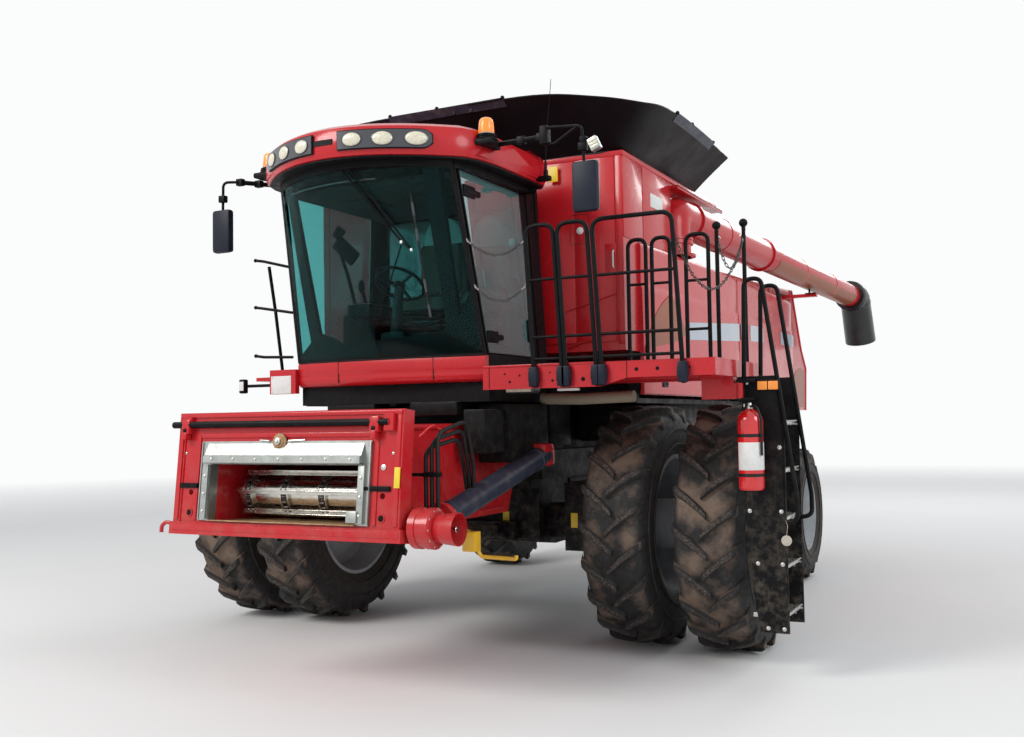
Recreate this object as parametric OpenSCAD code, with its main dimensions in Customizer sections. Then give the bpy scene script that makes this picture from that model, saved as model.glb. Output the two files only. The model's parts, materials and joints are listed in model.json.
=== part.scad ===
// Self-propelled combine harvester with dual front wheels, raised feeder house and no header.
// The front points to -Y, the machine's left side to +X, and the ground is Z = 0.
// The modules draw in the machine's own frame, whose zero is on the ground under the front axle.

/* [Wheels] */
// Outer diameter of a front tyre over its lugs
front_tyre_d = 1920; // [1800:10:1960]
// Width of a front tyre
front_tyre_w = 540; // [480:10:560]
// Centre plane of the inner front tyre, from the machine's middle
dual_inner_x = 1570; // [1560:5:1600]
// Distance between the centre planes of the two front tyres of a side
dual_pitch = 730; // [700:5:760]
// Outer diameter of a rear tyre over its lugs
rear_tyre_d = 1450; // [1350:10:1500]
// Width of a rear tyre
rear_tyre_w = 540; // [460:10:560]
// Centre plane of a rear tyre, from the machine's middle
rear_track_x = 1800; // [1780:5:1900]
// Distance from the front axle to the rear axle
wheelbase = 3860; // [3800:10:3950]

/* [Body] */
// Half width of the grain tank and the body's top
tank_x = 1500; // [1450:10:1520]
// Front wall of the grain tank
tank_front_y = -300; // [-320:5:-290]
// Rear wall of the grain tank
tank_rear_y = 2300; // [2200:10:2400]
// Height of the grain tank's rim
tank_rim_z = 3990; // [3950:5:4050]
// Height of the grain tank's floor
tank_floor_z = 2370; // [2350:5:2400]
// Half width of the black threshing body
core_x = 700; // [660:5:720]
// Height of the side doors' top edge
door_top_z = 3280; // [3200:5:3290]
// Rear end of the body
rear_y = 6430; // [6300:10:6500]

/* [Cab] */
// Half width of the cab at its floor
cab_x = 860; // [830:5:880]
// Half width of the cab under its roof
cab_top_x = 780; // [760:5:820]
// Lower edge of the windshield
cab_floor_z = 2300; // [2280:5:2320]
// Upper edge of the windshield
cab_head_z = 3690; // [3650:5:3720]
// Rear wall of the cab
cab_rear_y = -430; // [-450:5:-400]

/* [Platform] */
// Height of the platform's deck
deck_z = 2200; // [2190:5:2230]
// Left end of the platform
deck_x = 2560; // [2500:10:2580]
// Height of the handrails' tops
rail_top_z = 3200; // [3100:10:3300]

/* [Feeder] */
// Half width of the header face plate
face_x = 940; // [900:5:960]
// Half width of the feeder tunnel
tunnel_x = 620; // [600:5:640]
// Height of the feeder house's top
feeder_top_z = 1800; // [1780:5:1810]
// Front to back place of the feeder hinge
feeder_hinge_y = -520; // [-540:5:-510]
// Height of the feeder hinge
feeder_hinge_z = 1690; // [1670:5:1700]

/* [Unloading auger] */
// Side to side place of the auger's turret
turret_x = 1440; // [1420:5:1450]
// Front to back place of the auger's turret
turret_y = 1100; // [1090:5:1140]
// Height of the auger's axis over its turret
auger_z = 3705; // [3690:5:3710]
// Length of the auger from its turret to its spout
auger_reach = 5930; // [5800:10:6100]
// Angle that the stowed auger points outwards from straight back
auger_out = 5.6; // [5:0.1:6]
// Angle that the stowed auger falls towards its end
auger_fall = 2.2; // [2:0.1:2.6]

/* [Hidden] */
$fn = 48;
front_r = front_tyre_d / 2;
rear_r = rear_tyre_d / 2;
dual_outer_x = dual_inner_x + dual_pitch;
wall = 40;
touch = 0.3;

// Ladder: the inner faces of its two side plates, and its outer edge
ladder_x = 2620;
ladder_out_x = 2900;
ladder_front_y = -960;
ladder_rear_y = -500;
ladder_hinge = [2620, -1025];
ladder_hinge_low = 1940;
ladder_hinge_top = 2050;
hoop_r = 19;
hoop_out_x = 2980;
step_z = [430, 760, 1090, 1420, 1750];

// The auger's tubes: the first section ends at the second flange
auger_r1 = 170;
auger_r2 = 152;
auger_flange_r = 185;
auger_join = 2350;
spout_r = 205;
spout_knee = 260;
spout_fall = [20, 240, -600];
auger_dir = [sin(auger_out) * cos(auger_fall), cos(auger_out) * cos(auger_fall), -sin(auger_fall)];
auger_top = [turret_x, turret_y, auger_z];

// The header face leans back from its foot
face_y = -2778;
face_lean = 6.3;
face_plate = 60;
foot_out = 20;
foot_down = 40;
trim_x = tunnel_x + 90;
trim_z = [60, 600];
mouth_top = 445;
latch_x = 800;
latch_r = 20;
drive_shaft_r = 17.5;
hose_x = 935;

// The whole machine's extents set its origin: the middle of its box, on the ground
x_max = hoop_out_x + hoop_r;
x_min = -(dual_outer_x + front_tyre_w / 2);
y_min = face_y - foot_out * cos(face_lean) - foot_down * sin(face_lean);
spout_rim = spout_r * norm([spout_fall[0], spout_fall[2]]) / norm(spout_fall);
y_max = turret_y + (auger_reach + spout_knee) * auger_dir[1] + spout_fall[1] + spout_rim;
middle_x = (x_max + x_min) / 2;
middle_y = (y_max + y_min) / 2;

// Moves a piece from the machine's frame to the part's origin
module placed() {
    translate([-middle_x, -middle_y, 0]) children();
}

// A block from its low corner to its high corner
module block(low, high) {
    translate(low) cube(high - low);
}

// A shape and its mirror image on the machine's right side
module both_sides() {
    children();
    mirror([1, 0, 0]) children();
}

// A side view outline (Y, Z) given thickness from x0 to x1
module side_plate(x0, x1) {
    translate([x0, 0, 0]) rotate([90, 0, 90]) linear_extrude(x1 - x0) children();
}

// A front view outline (X, Z) given thickness from y0 to y1
module front_plate(y0, y1) {
    translate([0, y1, 0]) rotate([90, 0, 0]) linear_extrude(y1 - y0) children();
}

// A plan outline (X, Y) given thickness from z0 to z1
module plan_plate(z0, z1) {
    translate([0, 0, z0]) linear_extrude(z1 - z0) children();
}

// A round bar along X
module bar_x(x0, x1, y, z, r) {
    translate([x0, y, z]) rotate([0, 90, 0]) cylinder(h = x1 - x0, r = r);
}

// A round bar along Y
module bar_y(y0, y1, x, z, r) {
    translate([x, y0, z]) rotate([-90, 0, 0]) cylinder(h = y1 - y0, r = r);
}

// A round bar between two points
module rod(a, b, r) {
    d = b - a;
    flat = norm([d[0], d[1]]);
    translate(a) rotate([0, atan2(flat, d[2]), atan2(d[1], d[0])]) cylinder(h = norm(d), r = r);
}

function unit(v) = v / norm(v);

// Points along one bend of a route: corner p, directions u in and w out, bend radius b
function bend_points(p, u, w, b, steps) =
    let (turn = acos(u * w))
    let (inward = cross(unit(cross(u, w)), u))
    let (centre = p - u * b * tan(turn / 2) + inward * b)
    [for (k = [0:steps]) centre - inward * b * cos(turn * k / steps) + u * b * sin(turn * k / steps)];

// A route with each inner corner rounded to bend radius b
function route(p, b, steps) = [
    p[0],
    for (i = [1:1:len(p) - 2]) each bend_points(p[i], unit(p[i] - p[i - 1]), unit(p[i + 1] - p[i]), b, steps),
    p[len(p) - 1]
];

function along(p, i) = unit(p[min(i + 1, len(p) - 1)] - p[max(i - 1, 0)]);
function square_to(v, d) = unit(v - d * (v * d));
function normals(p, i, v) =
    i == len(p) ? [] : let (n = square_to(v, along(p, i))) concat([n], normals(p, i + 1, n));

// A closed skin through a row of like outlines: ring = true joins the last outline to the first
module loft(sections, ring = false) {
    n = len(sections[0]);
    m = len(sections);
    last = (m - 1) * n;
    points = [for (s = sections) each s];
    sides = [
        for (i = [0:(ring ? m : m - 1) - 1], j = [0:n - 1], half = [0, 1])
            let (a = i * n + j, b = i * n + (j + 1) % n)
            let (c = ((i + 1) % m) * n + (j + 1) % n, d = ((i + 1) % m) * n + j)
            // Each patch is split along its shorter diagonal
            norm(points[a] - points[c]) < norm(points[b] - points[d]) + 0.001
                ? (half == 0 ? [a, b, c] : [a, c, d])
                : (half == 0 ? [a, b, d] : [b, c, d])
    ];
    caps = ring ? [] : [for (j = [1:n - 2]) each [[0, j + 1, j], [last, last + j, last + j + 1]]];
    faces = concat(sides, caps);
    // Six times the enclosed volume, whose sign tells which way round the faces run
    six_volumes = [for (f = faces) points[f[0]] * cross(points[f[1]], points[f[2]])] * [for (f = faces) 1];
    turned = six_volumes > 0 ? [for (f = faces) [f[0], f[2], f[1]]] : faces;
    polyhedron(points = points, faces = turned, convexity = 6);
}

// A bent tube through a row of points, rounded at each inner point to bend radius b
module tube(points, r, b, sides = 8, steps = 3) {
    p = route(points, b, steps);
    n = normals(p, 0, abs(along(p, 0)[1]) < 0.7 ? [0, 1, 0] : [1, 0, 0]);
    loft([
        for (i = [0:len(p) - 1])
            let (m = cross(along(p, i), n[i]))
            [for (k = [0:sides - 1]) p[i] + r * (n[i] * cos(360 * k / sides) + m * sin(360 * k / sides))]
    ]);
}

// Threshing body: side outline as Y and Z pairs
core_outline = [
    [-300, 1250], [-450, 1250], [-450, 2250], [5150, 2250], [5150, 1560], [4700, 1130],
    [2900, 800], [0, 760], [-300, 800]
];

module threshing_body() {
    color("#1b1b1d") placed() side_plate(-core_x, core_x) polygon(core_outline);
}

// Chassis: columns are Y, low Z, high Z of a cross-beam from side to side
cross_beams = [[60, 1980, 2060], [2700, 1980, 2060], [5500, 1980, 2060]];
post_y = [20, 2720, 5500];
sill_z = [1945, 1985];

// The doors' outside is part of one long arc in plan
function door_out_x(y) = 1600 - pow(y - 2780, 2) / 140000;

// Underside of the deck behind the grain tank
function deck_low_z(y) = 3270 + (y - tank_rear_y) * 0.04;

module chassis() {
    color("#232326") placed() {
        both_sides() {
            block([core_x, -420, 1330], [core_x + 90, 5350, 1560]);
            side_plate(core_x, core_x + 40) difference() {
                polygon([[-430, 1420], [-640, 1560], [-640, 1800], [-430, 1850]]);
                translate([feeder_hinge_y, feeder_hinge_z]) circle(r = 60.3);
            }
            for (c = cross_beams) {
                block([core_x, c[0], c[1]], [1440, c[0] + 80, c[2]]);
            }
            for (y = post_y) {
                top = y < tank_rear_y ? tank_floor_z : deck_low_z(y);
                block([1400, y, 1980], [1460, y + 60, top]);
                stop_x = min(door_out_x(y), door_out_x(min(y + 60, door_ends[1][1]))) - wall - touch;
                block([1460, y, 2050], [stop_x, y + 60, min(top, 3240)]);
            }
            block([1400, 20, sill_z[0]], [1460, 5560, sill_z[1]]);
            block([1400, 2720, 3180], [1460, 5560, 3240]);
        }
        // Cross-beam under the feeder house, with a clevis for each lift cylinder
        difference() {
            union() {
                block([-520, -420, 830], [520, -300, 970]);
                for (x = lift_x, side = [-1, 1]) {
                    side_plate(x + side * 51 - 10.7, x + side * 51 + 10.7)
                        polygon([[-420, 840], [-420, 960], [-540, 940], [-540, 860]]);
                }
            }
            bar_x(-600, 600, lift_low[1], lift_low[2], lift_pin_r + touch);
        }
    }
}

module front_axle() {
    color("#2a2a2c") placed() both_sides() {
        bar_x(core_x, 1230, 0, front_r, 150);
        block([900, -230, front_r - 230], [1090, 230, front_r + 330]);
        bar_x(1090, 1240, 0, front_r, 235);
    }
}

rear_axle_z = rear_r + 60;
kingpin_x = rear_track_x - 400;
kingpin_r = 45;

module rear_axle() {
    color("#2a2a2c") placed() {
        difference() {
            union() {
                front_plate(wheelbase - 110, wheelbase + 110) polygon([
                    [60 - kingpin_x, rear_axle_z - 90], [kingpin_x - 60, rear_axle_z - 90],
                    [kingpin_x - 60, rear_axle_z + 90], [60 - kingpin_x, rear_axle_z + 90]
                ]);
                block([-260, wheelbase - 170, rear_axle_z + 90], [260, wheelbase + 170, 1060]);
                both_sides() {
                    translate([kingpin_x - 70, wheelbase - 55, rear_axle_z - 90]) cube([70, 110, 180]);
                    translate([kingpin_x, wheelbase, rear_axle_z - 90]) cylinder(h = 180, r = 58);
                }
            }
            side_plate(-core_x - 1, core_x + 1) polygon(core_outline);
            both_sides() translate([kingpin_x, wheelbase, 0]) cylinder(h = 2000, r = kingpin_r + touch);
        }
    }
}

module engine_block() {
    color("#3a3d40") placed() block([-520, 2950, 2250], [520, 4350, 3150]);
}

// Rear hood: outer outline as Y and Z pairs, and the deck's height at its two ends
hood_outline = [
    [5560, 1900], [5560, 3440], [5700, 3450], [6180, 2690], [rear_y, 2460], [6350, 1890]
];
hood_hollow = [
    [5500, 1800], [5500, 3400], [5680, 3405], [6150, 2660], [rear_y - 50, 2440], [6305, 1800]
];

module rear_hood() {
    color("#b01c1e") placed() {
        difference() {
            side_plate(-1500, 1500) polygon(hood_outline);
            side_plate(-1460, 1460) polygon(hood_hollow);
        }
        side_plate(-1500, 1500) polygon([
            [tank_rear_y, deck_low_z(tank_rear_y)], [tank_rear_y, deck_low_z(tank_rear_y) + wall],
            [5600, deck_low_z(5600) + wall], [5600, deck_low_z(5600)]
        ]);
        both_sides() side_plate(1460, 1500) polygon([
            [tank_rear_y, 3285], [tank_rear_y, deck_low_z(tank_rear_y) + wall],
            [5600, deck_low_z(5600) + wall], [5600, 3285]
        ]);
        // Arm that the stowed auger rests on
        block([1490, 5140, 3295], [1930, 5220, 3335]);
    }
}

// Side doors: columns are front Y, rear Y, low Z at the front, low Z at the rear
door_ends = [[20, 2770, 2010, 2010], [2790, 5540, 2010, 1910]];

module side_door(k) {
    d = door_ends[k];
    steps = 6;
    ys = [for (i = [0:steps]) d[0] + (d[1] - d[0]) * i / steps];
    intersection() {
        plan_plate(1800, door_top_z) polygon(concat(
            [for (y = ys) [door_out_x(y), y]],
            [for (i = [steps:-1:0]) [door_out_x(ys[i]) - wall, ys[i]]]
        ));
        side_plate(1400, 1700) polygon([[d[0], d[2]], [d[0], door_top_z], [d[1], door_top_z], [d[1], d[3]]]);
    }
}

module side_door_front_left() {
    color("#c02024") placed() side_door(0);
}

module side_door_rear_left() {
    color("#c02024") placed() side_door(1);
}

module side_door_front_right() {
    color("#c02024") placed() mirror([1, 0, 0]) side_door(0);
}

module side_door_rear_right() {
    color("#c02024") placed() mirror([1, 0, 0]) side_door(1);
}

// Grain tank: an open hopper, its left rear corner set back for the auger's turret
module grain_tank() {
    color("#b51d20") placed() {
        difference() {
            block([-tank_x, tank_front_y, tank_floor_z], [tank_x, tank_rear_y, tank_rim_z]);
            intersection() {
                front_plate(tank_front_y + wall, tank_rear_y - wall) polygon([
                    [-tank_x + wall, tank_rim_z + 1], [-tank_x + wall, 3250], [-350, tank_floor_z + wall],
                    [350, tank_floor_z + wall], [tank_x - wall, 3250], [tank_x - wall, tank_rim_z + 1]
                ]);
                difference() {
                    block([-2000, -1000, 2000], [2000, 3000, 5000]);
                    block([turret_x - 290, turret_y - 260, 3160], [2000, 3000, tank_rim_z - 120]);
                }
            }
            block([turret_x - 250, turret_y - 220, 3300], [2000, 3000, tank_rim_z - 80]);
        }
        // Turret: the upright auger tube that the swinging auger turns on
        translate([turret_x, turret_y, 3300]) cylinder(h = auger_z - 255 - touch - 3300, r = auger_r1);
    }
}

// Tank extension: columns are X, Y and Z of the top edge's corners, from the rear right round the front
ext_low = [
    [-1500, 1600], [-1500, 600], [-1500, 0], [-1460, -220], [-1380, -300], [-1000, -300], [0, -300],
    [1000, -300], [1380, -300], [1460, -220], [1500, 0], [1500, 600], [1500, 1600]
];
ext_high = [
    [-1850, 1600, 4290], [-1860, 600, 4320], [-1850, -150, 4320], [-1740, -500, 4300],
    [-1440, -650, 4350], [-900, -700, 4430], [0, -710, 4440],
    [900, -700, 4430], [1440, -650, 4350], [1740, -500, 4300],
    [1850, -150, 4320], [1860, 600, 4320], [1850, 1600, 4290]
];

module tank_extension() {
    inset = 18;
    color("#161618") placed() {
        loft([
            for (i = [0:len(ext_low) - 1])
                let (p = ext_low[i], q = ext_high[i], s = 1 - inset / 1500)
                [[p[0], p[1], tank_rim_z], [q[0], q[1], q[2]],
                 [q[0] * s, q[1] + inset, q[2] + 4], [p[0] * s, p[1] + inset, tank_rim_z]]
        ]);
    }
}

module straw_chopper() {
    color("#202023") placed() {
        difference() {
            side_plate(-680, 680) polygon([
                [5150, 1560], [5150, 2050], [5500, 2050], [5900, 1500], [5650, 1250], [5400, 1330]
            ]);
            side_plate(-650, 650) polygon([
                [5200, 1590], [5200, 2000], [5470, 2000], [5900, 1440], [5700, 1200], [5420, 1380]
            ]);
        }
        bar_x(-650, 650, 5420, 1640, 120);
    }
}

// Feeder house: side outline as Y and Z pairs
feeder_outline = [
    [-2800, 1090], [-2800, feeder_top_z], [-560, feeder_top_z], [-470, 1740], [-760, 1090]
];

module at_face() {
    translate([0, face_y, 1105]) rotate([-face_lean, 0, 0]) children();
}

module feeder_house() {
    plate = 25;
    color("#a81a1d") placed() {
        difference() {
            side_plate(-tunnel_x - plate, tunnel_x + plate) polygon(feeder_outline);
            side_plate(-tunnel_x, tunnel_x) polygon([
                [-2900, 1090 + plate], [-2900, feeder_top_z - plate],
                [-400, feeder_top_z - plate], [-400, 1090 + plate]
            ]);
            at_face() block([-face_x - 30, -400, -200], [face_x + 30, face_plate, 1200]);
            at_face() block([-face_x - 30, 0, -200], [face_x + 30, 90, 45]);
        }
        both_sides() {
            bar_x(tunnel_x + plate, core_x + 38, feeder_hinge_y, feeder_hinge_z, 60);
            side_plate(tunnel_x + plate, core_x - 2)
                polygon([[-700, 1600], [-700, 1780], [-470, 1740], [-500, 1600]]);
        }
        // Lugs under the floor for the lift cylinders
        for (x = lift_x) {
            for (side = [-1, 1]) {
                side_plate(x + side * 52 - 11.7, x + side * 52 + 11.7)
                    polygon([[-1860, 1090], [-1800, 960], [-1700, 960], [-1640, 1090]]);
            }
            bar_x(x - 60, x + 60, lift_high[1], lift_high[2], lift_pin_r);
        }
    }
}

// Header face: outline of the plate in front view, as X and Z pairs before it is tilted
module header_face() {
    color("#c22126") placed() {
        at_face() {
            difference() {
                union() {
                    block([-face_x, 0, 0], [face_x, face_plate, 800]);
                    block([-face_x - 20, -foot_out, -foot_down], [face_x + 20, 90, 45]);
                    both_sides() block([face_x - 60, -8, 45], [face_x, 110, 800]);
                    block([-face_x, -10, 740], [face_x, 110, 800]);
                    bar_x(-face_x - 40, face_x - 90, -28, 715, 22);
                    both_sides() block([face_x - 130, -40, 660], [face_x - 60, 0, 770]);
                }
                block([-trim_x, -60, trim_z[0]], [trim_x, 200, trim_z[1]]);
                // Holes for the header's two latch pins
                both_sides() bar_y(-1, face_plate + 1, latch_x, 250, latch_r);
            }
        }
    }
}

// Galvanised frame in the face's opening: an apron slopes out over the mouth and ends in a channel
module feeder_trim() {
    color("#9aa09e") placed() {
        at_face() {
            difference() {
                block([-trim_x, -14, trim_z[0]], [trim_x, face_plate, trim_z[1]]);
                block([-tunnel_x, -60, trim_z[0] - 1], [tunnel_x, 200, mouth_top]);
            }
            side_plate(-tunnel_x - 30, tunnel_x + 30) polygon([
                [10, 585], [-10, 585], [-45, 500], [-58, 500], [-58, mouth_top + 8], [10, mouth_top + 8]
            ]);
            both_sides() block([tunnel_x + 14, -30, trim_z[0] + 10], [tunnel_x + 54, 10, mouth_top - 10]);
        }
    }
}

// Feeder chain: four strands round a drum, joined by slats
strand_x = [-480, -160, 160, 480];
drum_y = -2400;
drum_z = 1330;

module feeder_chain() {
    color("#8f8d86") placed() {
        bar_x(-tunnel_x, tunnel_x, drum_y, drum_z, 45);
        bar_x(-560, 560, drum_y, drum_z, 120);
        for (x = strand_x) {
            bar_x(x - 18, x + 18, drum_y, drum_z, 150);
            side_plate(x - 18, x + 18) polygon([
                [drum_y, drum_z + 120], [drum_y, drum_z + 150], [-1000, 1650], [-1000, 1620]
            ]);
            side_plate(x - 18, x + 18) polygon([
                [drum_y, drum_z - 120], [drum_y, drum_z - 150], [-1000, 1200], [-1000, 1230]
            ]);
        }
        for (a = [20:60:340]) {
            translate([0, drum_y, drum_z]) rotate([a, 0, 0]) block([-540, -20, 140], [540, 20, 175]);
        }
    }
}

module header_drive() {
    color("#b31c20") placed() {
        bar_x(face_x + 40, face_x + 200, -2640, 1150, 130);
        bar_x(face_x + 200, face_x + 290, -2640, 1150, 90);
        bar_x(face_x + 290, face_x + 335, -2640, 1150, drive_shaft_r);
        block([tunnel_x + 25, -2560, 1080], [face_x + 60, -2340, 1260]);
        rod([980, -2340, 1180], [980, -800, 1540], 85);
        block([tunnel_x + 25, -900, 1450], [1060, -720, 1640]);
        // Hoses that loop from the feeder's side over the drive and back
        for (k = [0:2]) {
            tube([
                [hose_x + 45 * k, -2450, 1200], [hose_x + 45 * k, -2450, 1640 + 50 * k],
                [hose_x + 90 + 30 * k, -2180, 1700 + 60 * k], [hose_x + 40 * k, -1960, 1500],
                [hose_x + 20 * k, -1900, 1270]
            ], 15, 95);
        }
    }
}

// Lift cylinders: the low pin is on the chassis, the high pin on the feeder house
lift_low = [0, -480, 900];
lift_high = [0, -1750, 1010];
lift_x = [-400, 400];
lift_dir = unit(lift_high - lift_low);
lift_pin_r = 24;
lift_rod_r = 32;

module lift_barrels() {
    color("#26262a") placed() for (x = lift_x) {
        translate([x, 0, 0]) difference() {
            union() {
                bar_x(-40, 40, lift_low[1], lift_low[2], 50);
                bar_x(-61, 61, lift_low[1], lift_low[2], lift_pin_r);
                rod(lift_low + lift_dir * 30, lift_low + lift_dir * 90, 38);
                rod(lift_low + lift_dir * 85, lift_low + lift_dir * 820, 55);
            }
            rod(lift_low + lift_dir * 400, lift_low + lift_dir * 821, lift_rod_r + touch);
        }
    }
}

// The rod's eye is wider than its pin, by more than the eye drifts over the feeder's travel
module lift_rods() {
    color("#b8babd") placed() for (x = lift_x) {
        translate([x, 0, 0]) difference() {
            union() {
                rod(lift_low + lift_dir * 760, lift_high - lift_dir * 50, lift_rod_r);
                bar_x(-40, 40, lift_high[1], lift_high[2], 66);
            }
            bar_x(-41, 41, lift_high[1], lift_high[2], lift_pin_r + 18);
        }
    }
}

module cab_base() {
    color("#1c1c1e") placed() {
        plan_plate(1960, cab_floor_z - 10) polygon([
            [-cab_x, -450], [-cab_x, -1440], [cab_x, -1440], [cab_x, -450]
        ]);
    }
}

// The windshield's plan is an arc: half width, corner Y and middle Y at a height
function shield_y(x, half, corner_y, middle_y) = middle_y + (corner_y - middle_y) * pow(x / half, 2);
glass_s = 0.94;
low_corner_y = -1490;
low_middle_y = -1550;
high_corner_y = -1800;
high_middle_y = -2080;

// A strip that follows the windshield's curve: t goes from 0 at its foot to 1 at its head
function shield_point(s, t, in) =
    let (half = cab_x + (cab_top_x - cab_x) * t)
    let (corner = low_corner_y + (high_corner_y - low_corner_y) * t)
    let (middle = low_middle_y + (high_middle_y - low_middle_y) * t)
    [s * half, shield_y(s, 1, corner, middle) + in, cab_floor_z + (cab_head_z - cab_floor_z) * t];

module cab_fascia() {
    color("#b51c22") placed() {
        plan_plate(2105, cab_floor_z) polygon(concat(
            [for (i = [-6:6]) [i / 6 * cab_x, shield_y(i / 6, 1, low_corner_y - 5, low_middle_y - 5)]],
            [[cab_x, -1440], [-cab_x, -1440]]
        ));
    }
}

// The cab's side at a place along it (0 front, 1 rear) and height t
function side_point(u, t, in) =
    let (half = cab_x + (cab_top_x - cab_x) * t - in)
    let (front = low_corner_y + (high_corner_y - low_corner_y) * t)
    [half, front + (cab_rear_y - front) * u, cab_floor_z + (cab_head_z - cab_floor_z) * t];

// A flat bar of the cab's side between two places
module side_bar(u0, u1, t0, t1, thick) {
    loft([
        for (t = [t0, t1])
            [side_point(u0, t, 0), side_point(u1, t, 0), side_point(u1, t, thick), side_point(u0, t, thick)]
    ]);
}

post_u = 0.05;
rear_post_u = 0.76;
post_thick = 50;
post_step = 4;
post_lap = 12;
bar_lap = 0.015;
door_rear_u = 0.74;
rear_glass_x = cab_top_x - 110;

// Front post: from the windshield's edge round the corner to the side
module front_post() {
    loft([
        for (t = [0, 1]) [
            shield_point(glass_s, t, 0), side_point(0, t, 0), side_point(post_u, t, 0),
            side_point(post_u, t, post_thick), shield_point(glass_s, t, post_thick - 10)
        ]
    ]);
}

// Rear post: from the door's rear edge into the rear wall
module rear_post() {
    loft([
        for (t = [0, 1])
            let (q = side_point(rear_post_u, t, 0), y = cab_rear_y - post_thick + post_lap)
            [q, [q[0], y, q[2]], [q[0] - post_thick, y, q[2]], q - [post_thick, 0, 0]]
    ]);
}

// Bar between the two posts of a side, let into both and a little thinner than they are
module frame_bar(t0, t1) {
    loft([
        for (t = [t0, t1]) [
            side_point(post_u - bar_lap, t, post_step), side_point(rear_post_u + bar_lap, t, post_step),
            side_point(rear_post_u + bar_lap, t, post_thick - post_step),
            side_point(post_u - bar_lap, t, post_thick - post_step)
        ]
    ]);
}

module cab_frame() {
    foot_z = cab_floor_z - 10;
    wall_low = cab_x - post_step;
    wall_high = cab_top_x - post_step;
    wall_top_z = cab_head_z - post_step;
    color("#151517") placed() {
        both_sides() {
            front_post();
            rear_post();
        }
        mirror([1, 0, 0]) {
            frame_bar(0.003, 0.05);
            frame_bar(0.96, 0.997);
        }
        frame_bar(0.975, 0.997);
        // Rear wall round its window
        front_plate(cab_rear_y - post_thick, cab_rear_y) difference() {
            polygon([
                [-wall_low, foot_z], [wall_low, foot_z], [wall_low, cab_floor_z], [wall_high, wall_top_z],
                [-wall_high, wall_top_z], [-wall_low, cab_floor_z]
            ]);
            polygon([
                [-rear_glass_x, 2800], [rear_glass_x, 2800], [rear_glass_x, 3560], [-rear_glass_x, 3560]
            ]);
        }
    }
}

module cab_glass() {
    color("#2f4a43") placed() {
        loft([
            for (i = [-8:8])
                let (s = i / 8 * glass_s)
                [shield_point(s, 0, 0), shield_point(s, 0, 8), shield_point(s, 1, 8), shield_point(s, 1, 0)]
        ]);
        mirror([1, 0, 0]) side_bar(0.05, 0.76, 0.05, 0.96, 8);
        block([-rear_glass_x, cab_rear_y - 30, 2800], [rear_glass_x, cab_rear_y - 22, 3560]);
    }
}

// Left door: a frame round one pane, hinged along its leaning front edge
module cab_door() {
    color("#151517") placed() {
        side_bar(0.0503, 0.10, 0.01, 0.965, 32);
        side_bar(0.69, door_rear_u + 0.015, 0.01, 0.965, 32);
        side_bar(0.10, 0.69, 0.01, 0.06, 32);
        side_bar(0.10, 0.69, 0.93, 0.965, 32);
    }
}

module door_glass() {
    color("#2f4a43") placed() side_bar(0.10, 0.69, 0.06, 0.93, 8);
}

// Roof: plan outline with a round front, and a raised crown
roof_nose_y = -2290;
roof_corner_y = -1830;
roof_brim_z = 3875;
function roof_front_y(s) = roof_nose_y + (roof_corner_y - roof_nose_y) * pow(s, 2);

module cab_roof() {
    color("#b81d21") placed() {
        plan_plate(cab_head_z, roof_brim_z) polygon(concat(
            [for (i = [-16:16]) [i / 16 * 900, roof_front_y(i / 16)]],
            [[980, -1500], [980, -450], [-980, -450], [-980, -1500]]
        ));
        plan_plate(roof_brim_z, 3925) polygon(concat(
            [for (i = [-8:8]) [i / 8 * 810, roof_front_y(i / 8) + 90]],
            [[840, -1480], [840, -520], [-840, -520], [-840, -1480]]
        ));
    }
}

// Lamp panels on the roof's front: first and last sixteenth of its half width that each spans
lamp_panels = [[-13, -2], [2, 13]];

module roof_lamps() {
    color("#3a3d41") placed() for (e = lamp_panels) {
        plan_plate(3737, 3868) polygon(concat(
            [for (i = [e[0]:e[1]]) [i / 16 * 900, roof_front_y(i / 16) - 22]],
            [for (i = [e[1]:-1:e[0]]) [i / 16 * 900, roof_front_y(i / 16)]]
        ));
    }
}

module beacons() {
    color("#e07b12") placed() both_sides() {
        block([860, -1740, roof_brim_z], [1060, -1600, roof_brim_z + 12]);
        translate([993, -1667, roof_brim_z + 12]) cylinder(h = 30, r = 66);
        translate([993, -1667, roof_brim_z + 42]) cylinder(h = 95, r = 52);
    }
}

module mirrors() {
    color("#1a1a1c") placed() {
        both_sides() block([980, -1500, 3740], [1040, -1420, 3800]);
        tube([
            [1010, -1460, 3770], [1500, -1750, 3770], [1500, -1750, 3850], [1790, -1750, 3850], [1800, -1750, 3560]
        ], 16, 38);
        block([1705, -1790, 3215], [1895, -1720, 3565]);
        tube([
            [-1010, -1460, 3770], [-1240, -1780, 3770], [-1340, -1830, 3770], [-1340, -1835, 3540]
        ], 16, 38);
        block([-1430, -1870, 3195], [-1250, -1800, 3545]);
        block([980, -830, 3700], [1090, -770, 3740]);
        translate([1050, -800, 3720]) cylinder(h = 144, r = 18);
        // Whip aerial, eight-sided
        loft([
            for (end = [[1051, -800, 3846], [1120, -820, 4500]])
                [for (k = [0:7]) end + 4 * [cos(45 * k), sin(45 * k), 0]]
        ]);
    }
}

module seat() {
    color("#5b6a5f") placed() {
        block([-260, -1120, 2700], [260, -620, 2830]);
        block([-250, -700, 2830], [250, -560, 3450]);
        block([-150, -680, 3450], [150, -580, 3640]);
    }
}

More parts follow.
